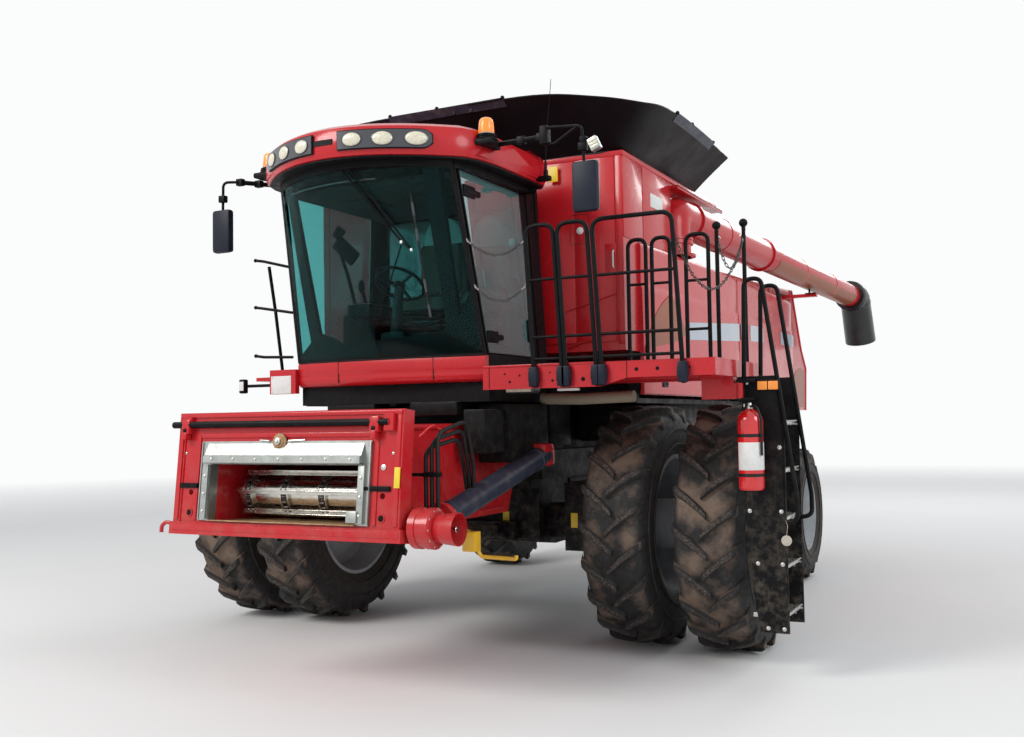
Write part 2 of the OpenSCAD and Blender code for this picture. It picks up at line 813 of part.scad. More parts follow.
module cab_controls() {
    color("#1d1d1f") placed() {
        block([-220, -1050, cab_floor_z - 10], [220, -660, 2700]);
        block([-560, -1250, 2650], [-330, -640, 2790]);
        block([-520, -1100, cab_floor_z - 10], [-380, -800, 2650]);
        block([-60, -1420, cab_floor_z - 10], [60, -1340, cab_floor_z + 40]);
        rod([0, -1380, cab_floor_z + 30], [0, -1300, 2900], 35);
        translate([0, -1300, 2900]) rotate([-35, 0, 0]) rotate_extrude() translate([190, 0]) circle(r = 16);
        translate([0, -1300, 2900]) rotate([-35, 0, 0]) block([-190, -15, -12], [190, 15, 12]);
    }
}

module platform() {
    color("#a91b1f") placed() {
        block([cab_x, -1490, deck_z - 30], [deck_x, -330, deck_z]);
        block([cab_x, -1530, 2040], [1780, -1490, deck_z + 10]);
        front_plate(-1530, -1490) polygon([
            [1780, 2040], [1980, 2095], [deck_x + 40, 2095], [deck_x + 40, deck_z + 10], [1780, deck_z + 10]
        ]);
        block([deck_x, -1490, 2095], [deck_x + 40, -330, deck_z + 10]);
        for (y = [-1300, -600]) {
            block([cab_x, y, 2090], [deck_x, y + 80, deck_z - 30]);
        }
        // Hanger with the upright tube that the ladder swings on
        hinge_h = ladder_hinge_top - ladder_hinge_low;
        block([2350, ladder_hinge[1] - 15, ladder_hinge_low], [deck_x + 20, ladder_hinge[1] + 85, deck_z - 30]);
        translate([ladder_hinge[0], ladder_hinge[1], ladder_hinge_low]) {
            block([deck_x + 10 - ladder_hinge[0], -15, 0], [0, 15, hinge_h]);
            cylinder(h = hinge_h, r = 24);
        }
        // Bracket and small landing on the right side of the cab
        block([-1124, -1530, 2058], [-cab_x - 2, -1480, 2254]);
        block([-1300, -1490, deck_z - 30], [-cab_x, -1100, deck_z]);
    }
}

// Handrail hoops on the front beam: columns are left X and right X
front_hoops = [[1230, 1450], [1480, 1710], [1750, 2330]];
// Hoops on the platform's rear edge
rear_hoops = [[1560, 1710], [1760, 1910], [2040, 2220]];
ball_posts = [[2290, -365], [2500, -365]];
chain_r = 7;

// Where the cab's left front post stands at a height
function post_t(z) = (z - cab_floor_z) / (cab_head_z - cab_floor_z);
function cab_post_x(z) = cab_x + (cab_top_x - cab_x) * post_t(z);
function cab_post_y(z) = low_corner_y + (high_corner_y - low_corner_y) * post_t(z);

// A hanging chain's outer shape between two points
module chain(a, b, sag) {
    links = 8;
    across = unit(cross(b - a, [0, 0, 1]));
    loft([
        for (i = [0:links])
            let (t = i / links, p = a + (b - a) * t - [0, 0, 4 * sag * t * (1 - t)])
            [for (k = [0:5]) p + chain_r * (across * cos(60 * k) + [0, 0, sin(60 * k)])]
    ]);
}

module handrails() {
    color("#18181a") placed() {
        // Safety chains: from the cab to the first hoop, and across the ladder's landing
        for (z = [2780, 3110]) {
            chain([cab_post_x(z) + 2, cab_post_y(z) + 12, z + 20], [front_hoops[0][0], -1550, z], 110);
        }
        chain([front_hoops[2][1], -1550, 3080], [ball_posts[1][0], ball_posts[1][1], 3180], 260);
        chain([ball_posts[0][0], ball_posts[0][1], 3220], [ball_posts[1][0], ball_posts[1][1], 3220], 270);
        // Lamp on an arm at the right end of the platform's beam
        block([-1400, -1522, 2120], [-1124, -1508, 2145]);
        block([-1440, -1545, 2073], [-1380, -1495, 2190]);
        for (h = front_hoops) {
            tube([
                [h[0], -1550, 2030], [h[0], -1550, rail_top_z], [h[1], -1550, rail_top_z], [h[1], -1550, 2030]
            ], hoop_r, 90);
            for (x = h) {
                block([x - 32, -1565, 2050], [x + 32, -1530, 2190]);
            }
            for (z = [2430, 2840]) {
                bar_x(h[0], h[1], -1550, z, 14);
            }
        }
        for (h = rear_hoops) {
            tube([
                [h[0], -365, deck_z], [h[0], -365, rail_top_z + 40],
                [h[1], -365, rail_top_z + 40], [h[1], -365, deck_z]
            ], hoop_r, 70);
            for (z = [2500, 2880]) {
                bar_x(h[0], h[1], -365, z, 14);
            }
        }
        for (p = ball_posts) {
            translate([p[0], p[1], deck_z]) cylinder(h = 1080, r = 22);
            translate([p[0], p[1], deck_z + 1090]) sphere(r = 34);
        }
        for (y = [-1440, -1180]) {
            tube([[-1270, y, deck_z], [-1270, y, 3160], [-1190, y, 3200], [-1060, y, 3200]], 16, 60);
        }
        for (z = [2380, 2780, 3140]) {
            bar_y(-1440, -1180, -1270, z, 14);
        }
    }
}

module ladder() {
    color("#1e1e20") placed() {
        for (y = [ladder_front_y, ladder_rear_y - 8]) {
            front_plate(y, y + 8) polygon([
                [ladder_x, 2095], [ladder_x + 240, 2095], [ladder_out_x, 1700],
                [ladder_out_x, 330], [ladder_x + 90, 330], [ladder_x, 900]
            ]);
        }
        for (z = step_z) {
            block([ladder_x + 30, ladder_front_y + 8, z], [ladder_out_x, ladder_rear_y - 8, z + 30]);
        }
        for (z = [ladder_hinge_low - 25, ladder_hinge_top + touch]) {
            translate([ladder_hinge[0] - 20, ladder_hinge[1] - 24, z])
                cube([120, ladder_front_y + 25 - ladder_hinge[1], 25 - touch]);
        }
        for (y = [ladder_front_y - 2, ladder_rear_y + 2]) {
            tube([
                [ladder_x + 10, y, 1900], [ladder_x + 30, y, 2780], [ladder_x + 150, y, 2780],
                [hoop_out_x, y, 1250], [hoop_out_x, y, 1100], [ladder_out_x - 15, y, 1080]
            ], hoop_r, 60);
        }
    }
}

module fire_extinguisher() {
    color("#c81e1e") placed() {
        translate([2700, -1075, 1310]) cylinder(h = 480, r = 88);
        translate([2700, -1075, 1790]) cylinder(h = 60, r1 = 88, r2 = 30);
        translate([2700, -1075, 1850]) cylinder(h = 60, r = 25);
        block([2660, -1000, 1480], [2740, ladder_front_y, 1520]);
    }
}

module auger_tube() {
    color("#a82328") placed() {
        tube([
            [turret_x, turret_y, auger_z - 255], auger_top, auger_top + auger_dir * auger_join
        ], auger_r1, 200, 24, 6);
        rod(auger_top + auger_dir * auger_join, auger_top + auger_dir * auger_reach, auger_r2);
        for (s = [360, auger_join]) {
            rod(auger_top + auger_dir * (s - 14), auger_top + auger_dir * (s + 14), auger_flange_r);
        }
        rod(auger_top + auger_dir * (auger_reach - 20), auger_top + auger_dir * auger_reach, spout_r);
    }
}

module auger_spout() {
    tip = auger_top + auger_dir * (auger_reach + touch);
    knee = tip + auger_dir * spout_knee;
    color("#131314") placed() difference() {
        tube([tip, knee, knee + spout_fall], spout_r, 210, 24, 6);
        tube([tip - auger_dir, knee, knee + spout_fall * 1.1], spout_r - 12, 210, 24, 6);
    }
}

// Tyre section: radius and half width pairs, from the bead seat to the tread between the lugs
module tyre(r, w, bead_r, lugs) {
    h = w / 2;
    seat = rim_w / 2;
    wall_h = r - bead_r;
    half = [
        [bead_r, seat - 9], [bead_r + rim_lip, seat - 1], [bead_r + rim_lip + 1, seat + 12],
        [bead_r + wall_h * 0.22, h - 16], [bead_r + wall_h * 0.38, h], [bead_r + wall_h * 0.62, h],
        [bead_r + wall_h * 0.80, h - 22], [r - lug_h - 24, h - 60], [r - lug_h, h - 130]
    ];
    rotate([0, 90, 0]) rotate_extrude() polygon(concat(
        [for (p = half) p],
        [for (i = [len(half) - 1:-1:0]) [half[i][0], -half[i][1]]]
    ));
    for (side = [-1, 1], k = [0:lugs - 1]) {
        lug(r, h, side, (k + (side < 0 ? 0.5 : 0)) / lugs * 360);
    }
}

// Sections of a lug: columns are its share of half the tread, its sweep along the tread,
// and how far its top and its foot lie below the tyre's outer radius
lug_sections = [[0.06, 0, 0, 70], [0.52, 132, 6, 80], [0.93, 218, 42, 130]];
lug_top = 25;
lug_foot = 42;
lug_h = 48;

// One lug: its flat top at the tread's middle just reaches the ground
module lug(r, h, side, turn) {
    flat = 1 / cos(lug_top / r * 180 / PI);
    loft([
        for (s = lug_sections) [
            for (c = [[-lug_foot, s[3]], [-lug_top, s[2]], [lug_top, s[2]], [lug_foot, s[3]]])
                let (a = turn + (s[1] + c[0]) / r * 180 / PI, q = (r - c[1]) * flat)
                [side * s[0] * h, -q * cos(a), q * sin(a)]
        ]
    ]);
}

// Rim section about the wheel's axis: the disc stands at dish from the middle plane
module rim(bead_r, dish, hub_r) {
    h = rim_w / 2;
    rotate([0, 90, 0]) rotate_extrude() polygon([
        [bead_r + rim_lip, -h - 12], [bead_r + rim_lip, -h], [bead_r, -h + 8], [bead_r, h - 8],
        [bead_r + rim_lip, h], [bead_r + rim_lip, h + 12], [bead_r - 12, h + 12], [bead_r - 16, h - 20],
        [bead_r - 60, dish + 60],
        [hub_r + 90, dish - 10], [hub_r, dish + 8], [hub_r, dish - 8], [hub_r + 80, dish - 26],
        [bead_r - 60, dish + 36], [bead_r - 16, -h + 20], [bead_r - 12, -h - 12]
    ]);
}

front_bead_r = 533;
rear_bead_r = 382;
front_lugs = 20;
rear_lugs = 18;
rim_w = 430;
rim_lip = 28;

module front_tyres() {
    for (x = [dual_inner_x, dual_outer_x]) {
        translate([x, 0, front_r]) tyre(front_r, front_tyre_w, front_bead_r, front_lugs);
    }
}

module front_rims() {
    translate([dual_inner_x, 0, front_r]) rim(front_bead_r, 0, 160);
    translate([dual_outer_x, 0, front_r]) rim(front_bead_r, -60, 160);
    bar_x(1240 + touch, dual_inner_x + 60, 0, front_r, 170);
    bar_x(dual_inner_x + 60, dual_outer_x - 40, 0, front_r, 200);
    bar_x(dual_outer_x - 40, dual_outer_x + 60, 0, front_r, 165);
}

module front_tyres_left() {
    color("#1d1d1d") placed() front_tyres();
}

module front_tyres_right() {
    color("#1d1d1d") placed() mirror([1, 0, 0]) front_tyres();
}

module front_rims_left() {
    color("#a9acb0") placed() front_rims();
}

module front_rims_right() {
    color("#a9acb0") placed() mirror([1, 0, 0]) front_rims();
}

module rear_tyre() {
    translate([rear_track_x, wheelbase, rear_r]) tyre(rear_r, rear_tyre_w, rear_bead_r, rear_lugs);
}

module rear_rim() {
    translate([rear_track_x, wheelbase, rear_r]) rim(rear_bead_r, -20, 110);
    bar_x(rear_track_x - 160, rear_track_x + 40, wheelbase, rear_r, 115);
}

module rear_tyre_left() {
    color("#1d1d1d") placed() rear_tyre();
}

module rear_tyre_right() {
    color("#1d1d1d") placed() mirror([1, 0, 0]) rear_tyre();
}

module rear_rim_left() {
    color("#a9acb0") placed() rear_rim();
}

module rear_rim_right() {
    color("#a9acb0") placed() mirror([1, 0, 0]) rear_rim();
}

// Knuckle: a fork round the axle's end on its kingpin, and the stub that the wheel turns on
module knuckle() {
    translate([kingpin_x, wheelbase, rear_axle_z - 150]) cylinder(h = 300, r = kingpin_r);
    for (z = [rear_axle_z - 150, rear_axle_z + 90 + touch]) {
        block([kingpin_x - 60, wheelbase - 70, z], [kingpin_x + 110, wheelbase + 70, z + 60 - touch]);
    }
    translate([kingpin_x + 64, wheelbase - 70, rear_axle_z - 150]) cube([46, 140, 300]);
    bar_x(kingpin_x + 110, rear_track_x - 160 - touch, wheelbase, rear_r, 80);
}

module knuckle_left() {
    color("#2c2c2e") placed() knuckle();
}

module knuckle_right() {
    color("#2c2c2e") placed() mirror([1, 0, 0]) knuckle();
}

threshing_body();
chassis();
front_axle();
rear_axle();
engine_block();
rear_hood();
side_door_front_left();
side_door_rear_left();
side_door_front_right();
side_door_rear_right();
grain_tank();
tank_extension();
straw_chopper();
feeder_house();
header_face();
feeder_trim();
feeder_chain();
header_drive();
lift_barrels();
lift_rods();
cab_base();
cab_fascia();
cab_frame();
cab_glass();
cab_door();
door_glass();
cab_roof();
roof_lamps();
beacons();
mirrors();
seat();
cab_controls();
platform();
handrails();
ladder();
fire_extinguisher();
auger_tube();
auger_spout();
front_tyres_left();
front_tyres_right();
front_rims_left();
front_rims_right();
rear_tyre_left();
rear_tyre_right();
rear_rim_left();
rear_rim_right();
knuckle_left();
knuckle_right();
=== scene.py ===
import json
import math
import random

import bmesh
import bpy
from bpy.props import FloatProperty, FloatVectorProperty, IntProperty, PointerProperty
from mathutils import Matrix, Vector

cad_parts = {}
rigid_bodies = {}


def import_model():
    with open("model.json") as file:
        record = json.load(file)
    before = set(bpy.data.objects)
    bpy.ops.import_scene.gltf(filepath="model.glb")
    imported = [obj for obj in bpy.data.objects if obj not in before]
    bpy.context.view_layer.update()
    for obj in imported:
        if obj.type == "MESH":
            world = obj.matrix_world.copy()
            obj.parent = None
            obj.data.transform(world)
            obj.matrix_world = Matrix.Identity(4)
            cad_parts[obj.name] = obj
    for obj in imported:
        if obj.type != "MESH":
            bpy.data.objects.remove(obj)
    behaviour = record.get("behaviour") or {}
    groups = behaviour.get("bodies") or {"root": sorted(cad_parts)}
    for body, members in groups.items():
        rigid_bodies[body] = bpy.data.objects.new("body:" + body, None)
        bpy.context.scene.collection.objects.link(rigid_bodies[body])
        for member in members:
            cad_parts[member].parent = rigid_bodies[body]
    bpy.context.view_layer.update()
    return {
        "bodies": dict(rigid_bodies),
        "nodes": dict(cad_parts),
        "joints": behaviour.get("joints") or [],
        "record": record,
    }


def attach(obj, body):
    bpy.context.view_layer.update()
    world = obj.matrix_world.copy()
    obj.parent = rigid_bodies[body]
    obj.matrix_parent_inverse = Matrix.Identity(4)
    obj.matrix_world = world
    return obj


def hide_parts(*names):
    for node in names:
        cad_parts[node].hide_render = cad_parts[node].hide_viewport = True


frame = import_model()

bl_info = {
    "name": "Combine harvester",
    "version": (1, 0, 0),
    "blender": (4, 5, 0),
    "location": "View3D > Sidebar > Harvester",
    "description": "Builds the finish and the fine pieces of a combine harvester on its packed frame",
    "category": "Object",
}

JOINTS = {joint["name"]: joint for joint in frame["joints"]}


def wheel_centre(joint_name):
    return Vector(JOINTS[joint_name]["pos_m"])


LEFT_DUAL = wheel_centre("front_wheels_left_spin")
RIGHT_DUAL = wheel_centre("front_wheels_right_spin")
# The machine's own zero is on the ground under the middle of the front axle
MACHINE_ZERO = Vector(((LEFT_DUAL.x + RIGHT_DUAL.x) / 2, LEFT_DUAL.y, 0.0))


def at(x, y, z):
    """A place given from the machine's own zero, in the frame's coordinates."""
    return MACHINE_ZERO + Vector((x, y, z))


# Settings


class HarvesterSizes(bpy.types.PropertyGroup):
    lug_count: IntProperty(
        name="Lugs per side", description="Tread lugs on each side of a front tyre", default=20, min=10,
        max=30
    )
    rear_lug_count: IntProperty(
        name="Rear lugs per side", description="Tread lugs on each side of a rear tyre", default=18, min=10,
        max=30
    )
    lug_height: FloatProperty(
        name="Lug height", description="Height of a tread lug over the carcass", default=0.052, unit="LENGTH"
    )
    rail_radius: FloatProperty(
        name="Rail radius", description="Radius of a handrail tube", default=0.016, unit="LENGTH"
    )
    bolt_radius: FloatProperty(
        name="Bolt radius", description="Radius of a bolt's head across its flats", default=0.013,
        unit="LENGTH"
    )
    camera_lens: FloatProperty(
        name="Camera lens", description="Focal length of the camera", default=37.53, unit="CAMERA"
    )


class HarvesterColours(bpy.types.PropertyGroup):
    paint: FloatVectorProperty(
        name="Paint", description="Colour of the body's paint", subtype="COLOR", size=3,
        default=(0.5, 0.012, 0.018)
    )
    dark_paint: FloatVectorProperty(
        name="Dark paint", description="Colour of the frame's paint", subtype="COLOR", size=3,
        default=(0.006, 0.006, 0.007)
    )
    rubber: FloatVectorProperty(
        name="Tyre rubber", description="Colour of the tyres", subtype="COLOR", size=3,
        default=(0.018, 0.017, 0.017)
    )
    mud: FloatVectorProperty(
        name="Dried mud", description="Colour of the mud on the tread", subtype="COLOR", size=3,
        default=(0.19, 0.135, 0.1)
    )
    wheel_paint: FloatVectorProperty(
        name="Wheel paint", description="Colour of the rims", subtype="COLOR", size=3,
        default=(0.36, 0.38, 0.4)
    )
    floor: FloatVectorProperty(
        name="Floor", description="Colour of the studio floor", subtype="COLOR", size=3,
        default=(0.8, 0.8, 0.79)
    )


def sizes():
    return bpy.context.scene.harvester_sizes


def colours():
    return bpy.context.scene.harvester_colours


# Materials


class Finish:
    """A material under construction, with the few node chains that this machine's finishes use."""

    def __init__(self, name, colour, rough, metal=0.0):
        self.material = bpy.data.materials.new(name)
        self.material.use_nodes = True
        self.nodes = self.material.node_tree.nodes
        self.links = self.material.node_tree.links
        self.shader = self.nodes["Principled BSDF"]
        self.colour_out = None
        self.rough_out = None
        self.bump_out = None
        self.shader.inputs["Base Color"].default_value = (*colour, 1.0)
        self.shader.inputs["Roughness"].default_value = rough
        self.shader.inputs["Metallic"].default_value = metal
        self.colour = colour
        self.rough = rough
        self.coordinates = self.nodes.new("ShaderNodeTexCoord")

    def set(self, **values):
        for name, value in values.items():
            self.shader.inputs[name.replace("_", " ")].default_value = value
        return self

    def stretched(self, scale):
        mapping = self.nodes.new("ShaderNodeMapping")
        mapping.inputs["Scale"].default_value = scale
        self.links.new(self.coordinates.outputs["Object"], mapping.inputs["Vector"])
        return mapping.outputs["Vector"]

    def noise(self, scale, detail=6.0, rough=0.55, stretch=None):
        node = self.nodes.new("ShaderNodeTexNoise")
        node.inputs["Scale"].default_value = scale
        node.inputs["Detail"].default_value = detail
        node.inputs["Roughness"].default_value = rough
        source = self.coordinates.outputs["Object"] if stretch is None else self.stretched(stretch)
        self.links.new(source, node.inputs["Vector"])
        return node.outputs["Fac"]

    def cells(self, scale, feature="F1"):
        node = self.nodes.new("ShaderNodeTexVoronoi")
        node.feature = feature
        node.inputs["Scale"].default_value = scale
        self.links.new(self.coordinates.outputs["Object"], node.inputs["Vector"])
        return node.outputs["Color"] if feature == "F1" else node.outputs["Distance"]

    def waves(self, scale, direction="Z", distortion=0.0):
        node = self.nodes.new("ShaderNodeTexWave")
        node.bands_direction = direction
        node.inputs["Scale"].default_value = scale
        node.inputs["Distortion"].default_value = distortion
        self.links.new(self.coordinates.outputs["Object"], node.inputs["Vector"])
        return node.outputs["Fac"]

    def ramp(self, source, low, high, out_low=0.0, out_high=1.0):
        node = self.nodes.new("ShaderNodeMapRange")
        node.inputs["From Min"].default_value = low
        node.inputs["From Max"].default_value = high
        node.inputs["To Min"].default_value = out_low
        node.inputs["To Max"].default_value = out_high
        self.links.new(source, node.inputs["Value"])
        return node.outputs["Result"]

    def maths(self, operation, a, b=0.5):
        node = self.nodes.new("ShaderNodeMath")
        node.operation = operation
        for socket, value in zip(node.inputs, (a, b)):
            if isinstance(value, (int, float)):
                socket.default_value = value
            else:
                self.links.new(value, socket)
        return node.outputs["Value"]

    def facing_up(self, low=0.2, high=0.95):
        """How far the surface looks up, for the dust that settles on it."""
        geometry = self.nodes.new("ShaderNodeNewGeometry")
        parts = self.nodes.new("ShaderNodeSeparateXYZ")
        self.links.new(geometry.outputs["Normal"], parts.inputs["Vector"])
        return self.ramp(parts.outputs["Z"], low, high)

    def height(self, low, high):
        """From one at the low height to nothing at the high one."""
        parts = self.nodes.new("ShaderNodeSeparateXYZ")
        self.links.new(self.coordinates.outputs["Object"], parts.inputs["Vector"])
        return self.ramp(parts.outputs["Z"], low, high, 1.0, 0.0)

    def tint(self, colour, amount):
        """Mixes a colour in by a mask from another chain."""
        node = self.nodes.new("ShaderNodeMix")
        node.data_type = "RGBA"
        if self.colour_out is None:
            node.inputs["A"].default_value = (*self.colour, 1.0)
        else:
            self.links.new(self.colour_out, node.inputs["A"])
        node.inputs["B"].default_value = (*colour, 1.0)
        self.links.new(amount, node.inputs["Factor"])
        self.colour_out = node.outputs["Result"]
        return self

    def roughen(self, source, low, high, least, most):
        self.rough_out = self.ramp(source, low, high, least, most)
        return self

    def bump(self, source, strength, distance=0.002):
        node = self.nodes.new("ShaderNodeBump")
        node.inputs["Strength"].default_value = strength
        node.inputs["Distance"].default_value = distance
        self.links.new(source, node.inputs["Height"])
        if self.bump_out is not None:
            self.links.new(self.bump_out, node.inputs["Normal"])
        self.bump_out = node.outputs["Normal"]
        return self

    def done(self):
        if self.colour_out is not None:
            self.links.new(self.colour_out, self.shader.inputs["Base Color"])
        if self.rough_out is not None:
            self.links.new(self.rough_out, self.shader.inputs["Roughness"])
        if self.bump_out is not None:
            self.links.new(self.bump_out, self.shader.inputs["Normal"])
        return self.material


DUST = (0.3, 0.25, 0.19)


def gloss_paint(name, colour, fade=0.25, coat=0.22):
    f = Finish(name, colour, 0.26)
    f.set(Coat_Weight=coat, Coat_Roughness=0.06, Specular_IOR_Level=0.3)
    # Large soft paler patches; where a copy asks for more of them, as on the side panels, they are painted
    # light.
    pale = tuple(min(1.0, c * 1.12 + 0.004) for c in colour)
    f.tint(pale, f.ramp(f.noise(1.4, 3.0), 0.35, 0.75, 0.0, fade))
    f.tint(tuple(c * 0.72 for c in colour), f.ramp(f.noise(6.0, 8.0), 0.55, 0.8, 0.0, 0.35))
    dusty = f.maths("MULTIPLY", f.facing_up(0.35, 1.0), f.ramp(f.noise(3.2, 8.0, 0.7), 0.35, 0.72, 0.0, 0.2))
    f.tint(DUST, dusty)
    low = f.maths("MULTIPLY", f.height(0.6, 1.9), f.ramp(f.noise(9.0, 8.0, 0.7), 0.42, 0.75, 0.0, 0.35))
    f.tint(DUST, low)
    f.roughen(f.noise(2.5, 8.0, 0.65), 0.3, 0.75, 0.17, 0.36)
    f.bump(f.noise(55.0, 2.0), 0.05, 0.001)
    f.bump(f.noise(1.1, 1.0), 0.08, 0.012)
    return f.done()


def satin_paint(name, colour, dust=0.35):
    f = Finish(name, colour, 0.42)
    f.set(Specular_IOR_Level=0.1)
    f.tint(tuple(c * 1.6 + 0.002 for c in colour), f.ramp(f.noise(5.0, 8.0, 0.65), 0.45, 0.78, 0.0, 0.6))
    f.tint(
        DUST, f.maths("MULTIPLY", f.facing_up(0.3, 1.0), f.ramp(f.noise(7.0, 9.0, 0.7), 0.35, 0.7, 0.0, dust))
    )
    f.tint(
        DUST, f.maths("MULTIPLY", f.height(0.5, 2.1), f.ramp(f.noise(14.0, 9.0, 0.7), 0.45, 0.75, 0.0, dust))
    )
    f.roughen(f.noise(9.0, 6.0), 0.3, 0.7, 0.3, 0.58)
    f.bump(f.noise(160.0, 3.0), 0.12, 0.0006)
    return f.done()


def tyre_rubber(name, centre, tread_radius):
    """Black rubber whose tread holds dried mud between the lugs, round the wheel's axis."""
    rubber = tuple(colours().rubber)
    mud = tuple(colours().mud)
    f = Finish(name, rubber, 0.72)
    f.set(Specular_IOR_Level=0.35)
    shift = f.nodes.new("ShaderNodeMapping")
    shift.inputs["Location"].default_value = (0.0, -centre.y, -centre.z)
    shift.inputs["Scale"].default_value = (0.0, 1.0, 1.0)
    f.links.new(f.coordinates.outputs["Object"], shift.inputs["Vector"])
    length = f.nodes.new("ShaderNodeVectorMath")
    length.operation = "LENGTH"
    f.links.new(shift.outputs["Vector"], length.inputs[0])
    radius = length.outputs["Value"]
    lug = sizes().lug_height
    between = f.maths(
        "MULTIPLY",
        f.ramp(radius, tread_radius - lug - 0.03, tread_radius - lug - 0.004),
        f.ramp(radius, tread_radius - lug + 0.004, tread_radius - lug + 0.022, 1.0, 0.0),
    )
    patches = f.ramp(f.noise(2.6, 7.0, 0.62), 0.44, 0.6)
    f.tint(tuple(c * 2.6 for c in rubber), f.ramp(f.noise(22.0, 9.0, 0.7), 0.45, 0.72, 0.0, 0.65))
    f.tint(mud, f.maths("MULTIPLY", between, f.maths("MULTIPLY", patches, 0.92)))
    scuffed = f.maths(
        "MULTIPLY", f.ramp(radius, tread_radius - 0.016, tread_radius - 0.002),
        f.ramp(f.noise(60.0, 6.0, 0.75), 0.47, 0.62, 0.0, 0.75)
    )
    f.tint(tuple(c * 0.75 + 0.02 for c in mud), scuffed)
    wall = f.ramp(radius, tread_radius * 0.62, tread_radius * 0.86, 0.25, 0.0)
    f.tint(mud, f.maths("MULTIPLY", wall, f.noise(6.0, 8.0, 0.7)))
    f.roughen(f.noise(18.0, 8.0, 0.7), 0.3, 0.7, 0.55, 0.88)
    f.bump(f.noise(90.0, 8.0, 0.75), 0.45, 0.004)
    return f.done()


def plain_metal(name, colour, rough, spread=0.12, scale=18.0, stretch=None, metal=1.0):
    f = Finish(name, colour, rough, metal)
    f.tint(tuple(c * 0.62 for c in colour), f.ramp(f.noise(scale, 8.0, 0.65, stretch), 0.42, 0.75, 0.0, 0.7))
    f.roughen(f.noise(scale * 1.6, 8.0, 0.6, stretch), 0.3, 0.7, max(0.05, rough - spread), rough + spread)
    f.bump(f.noise(scale * 6.0, 4.0, 0.6, stretch), 0.08, 0.0008)
    return f


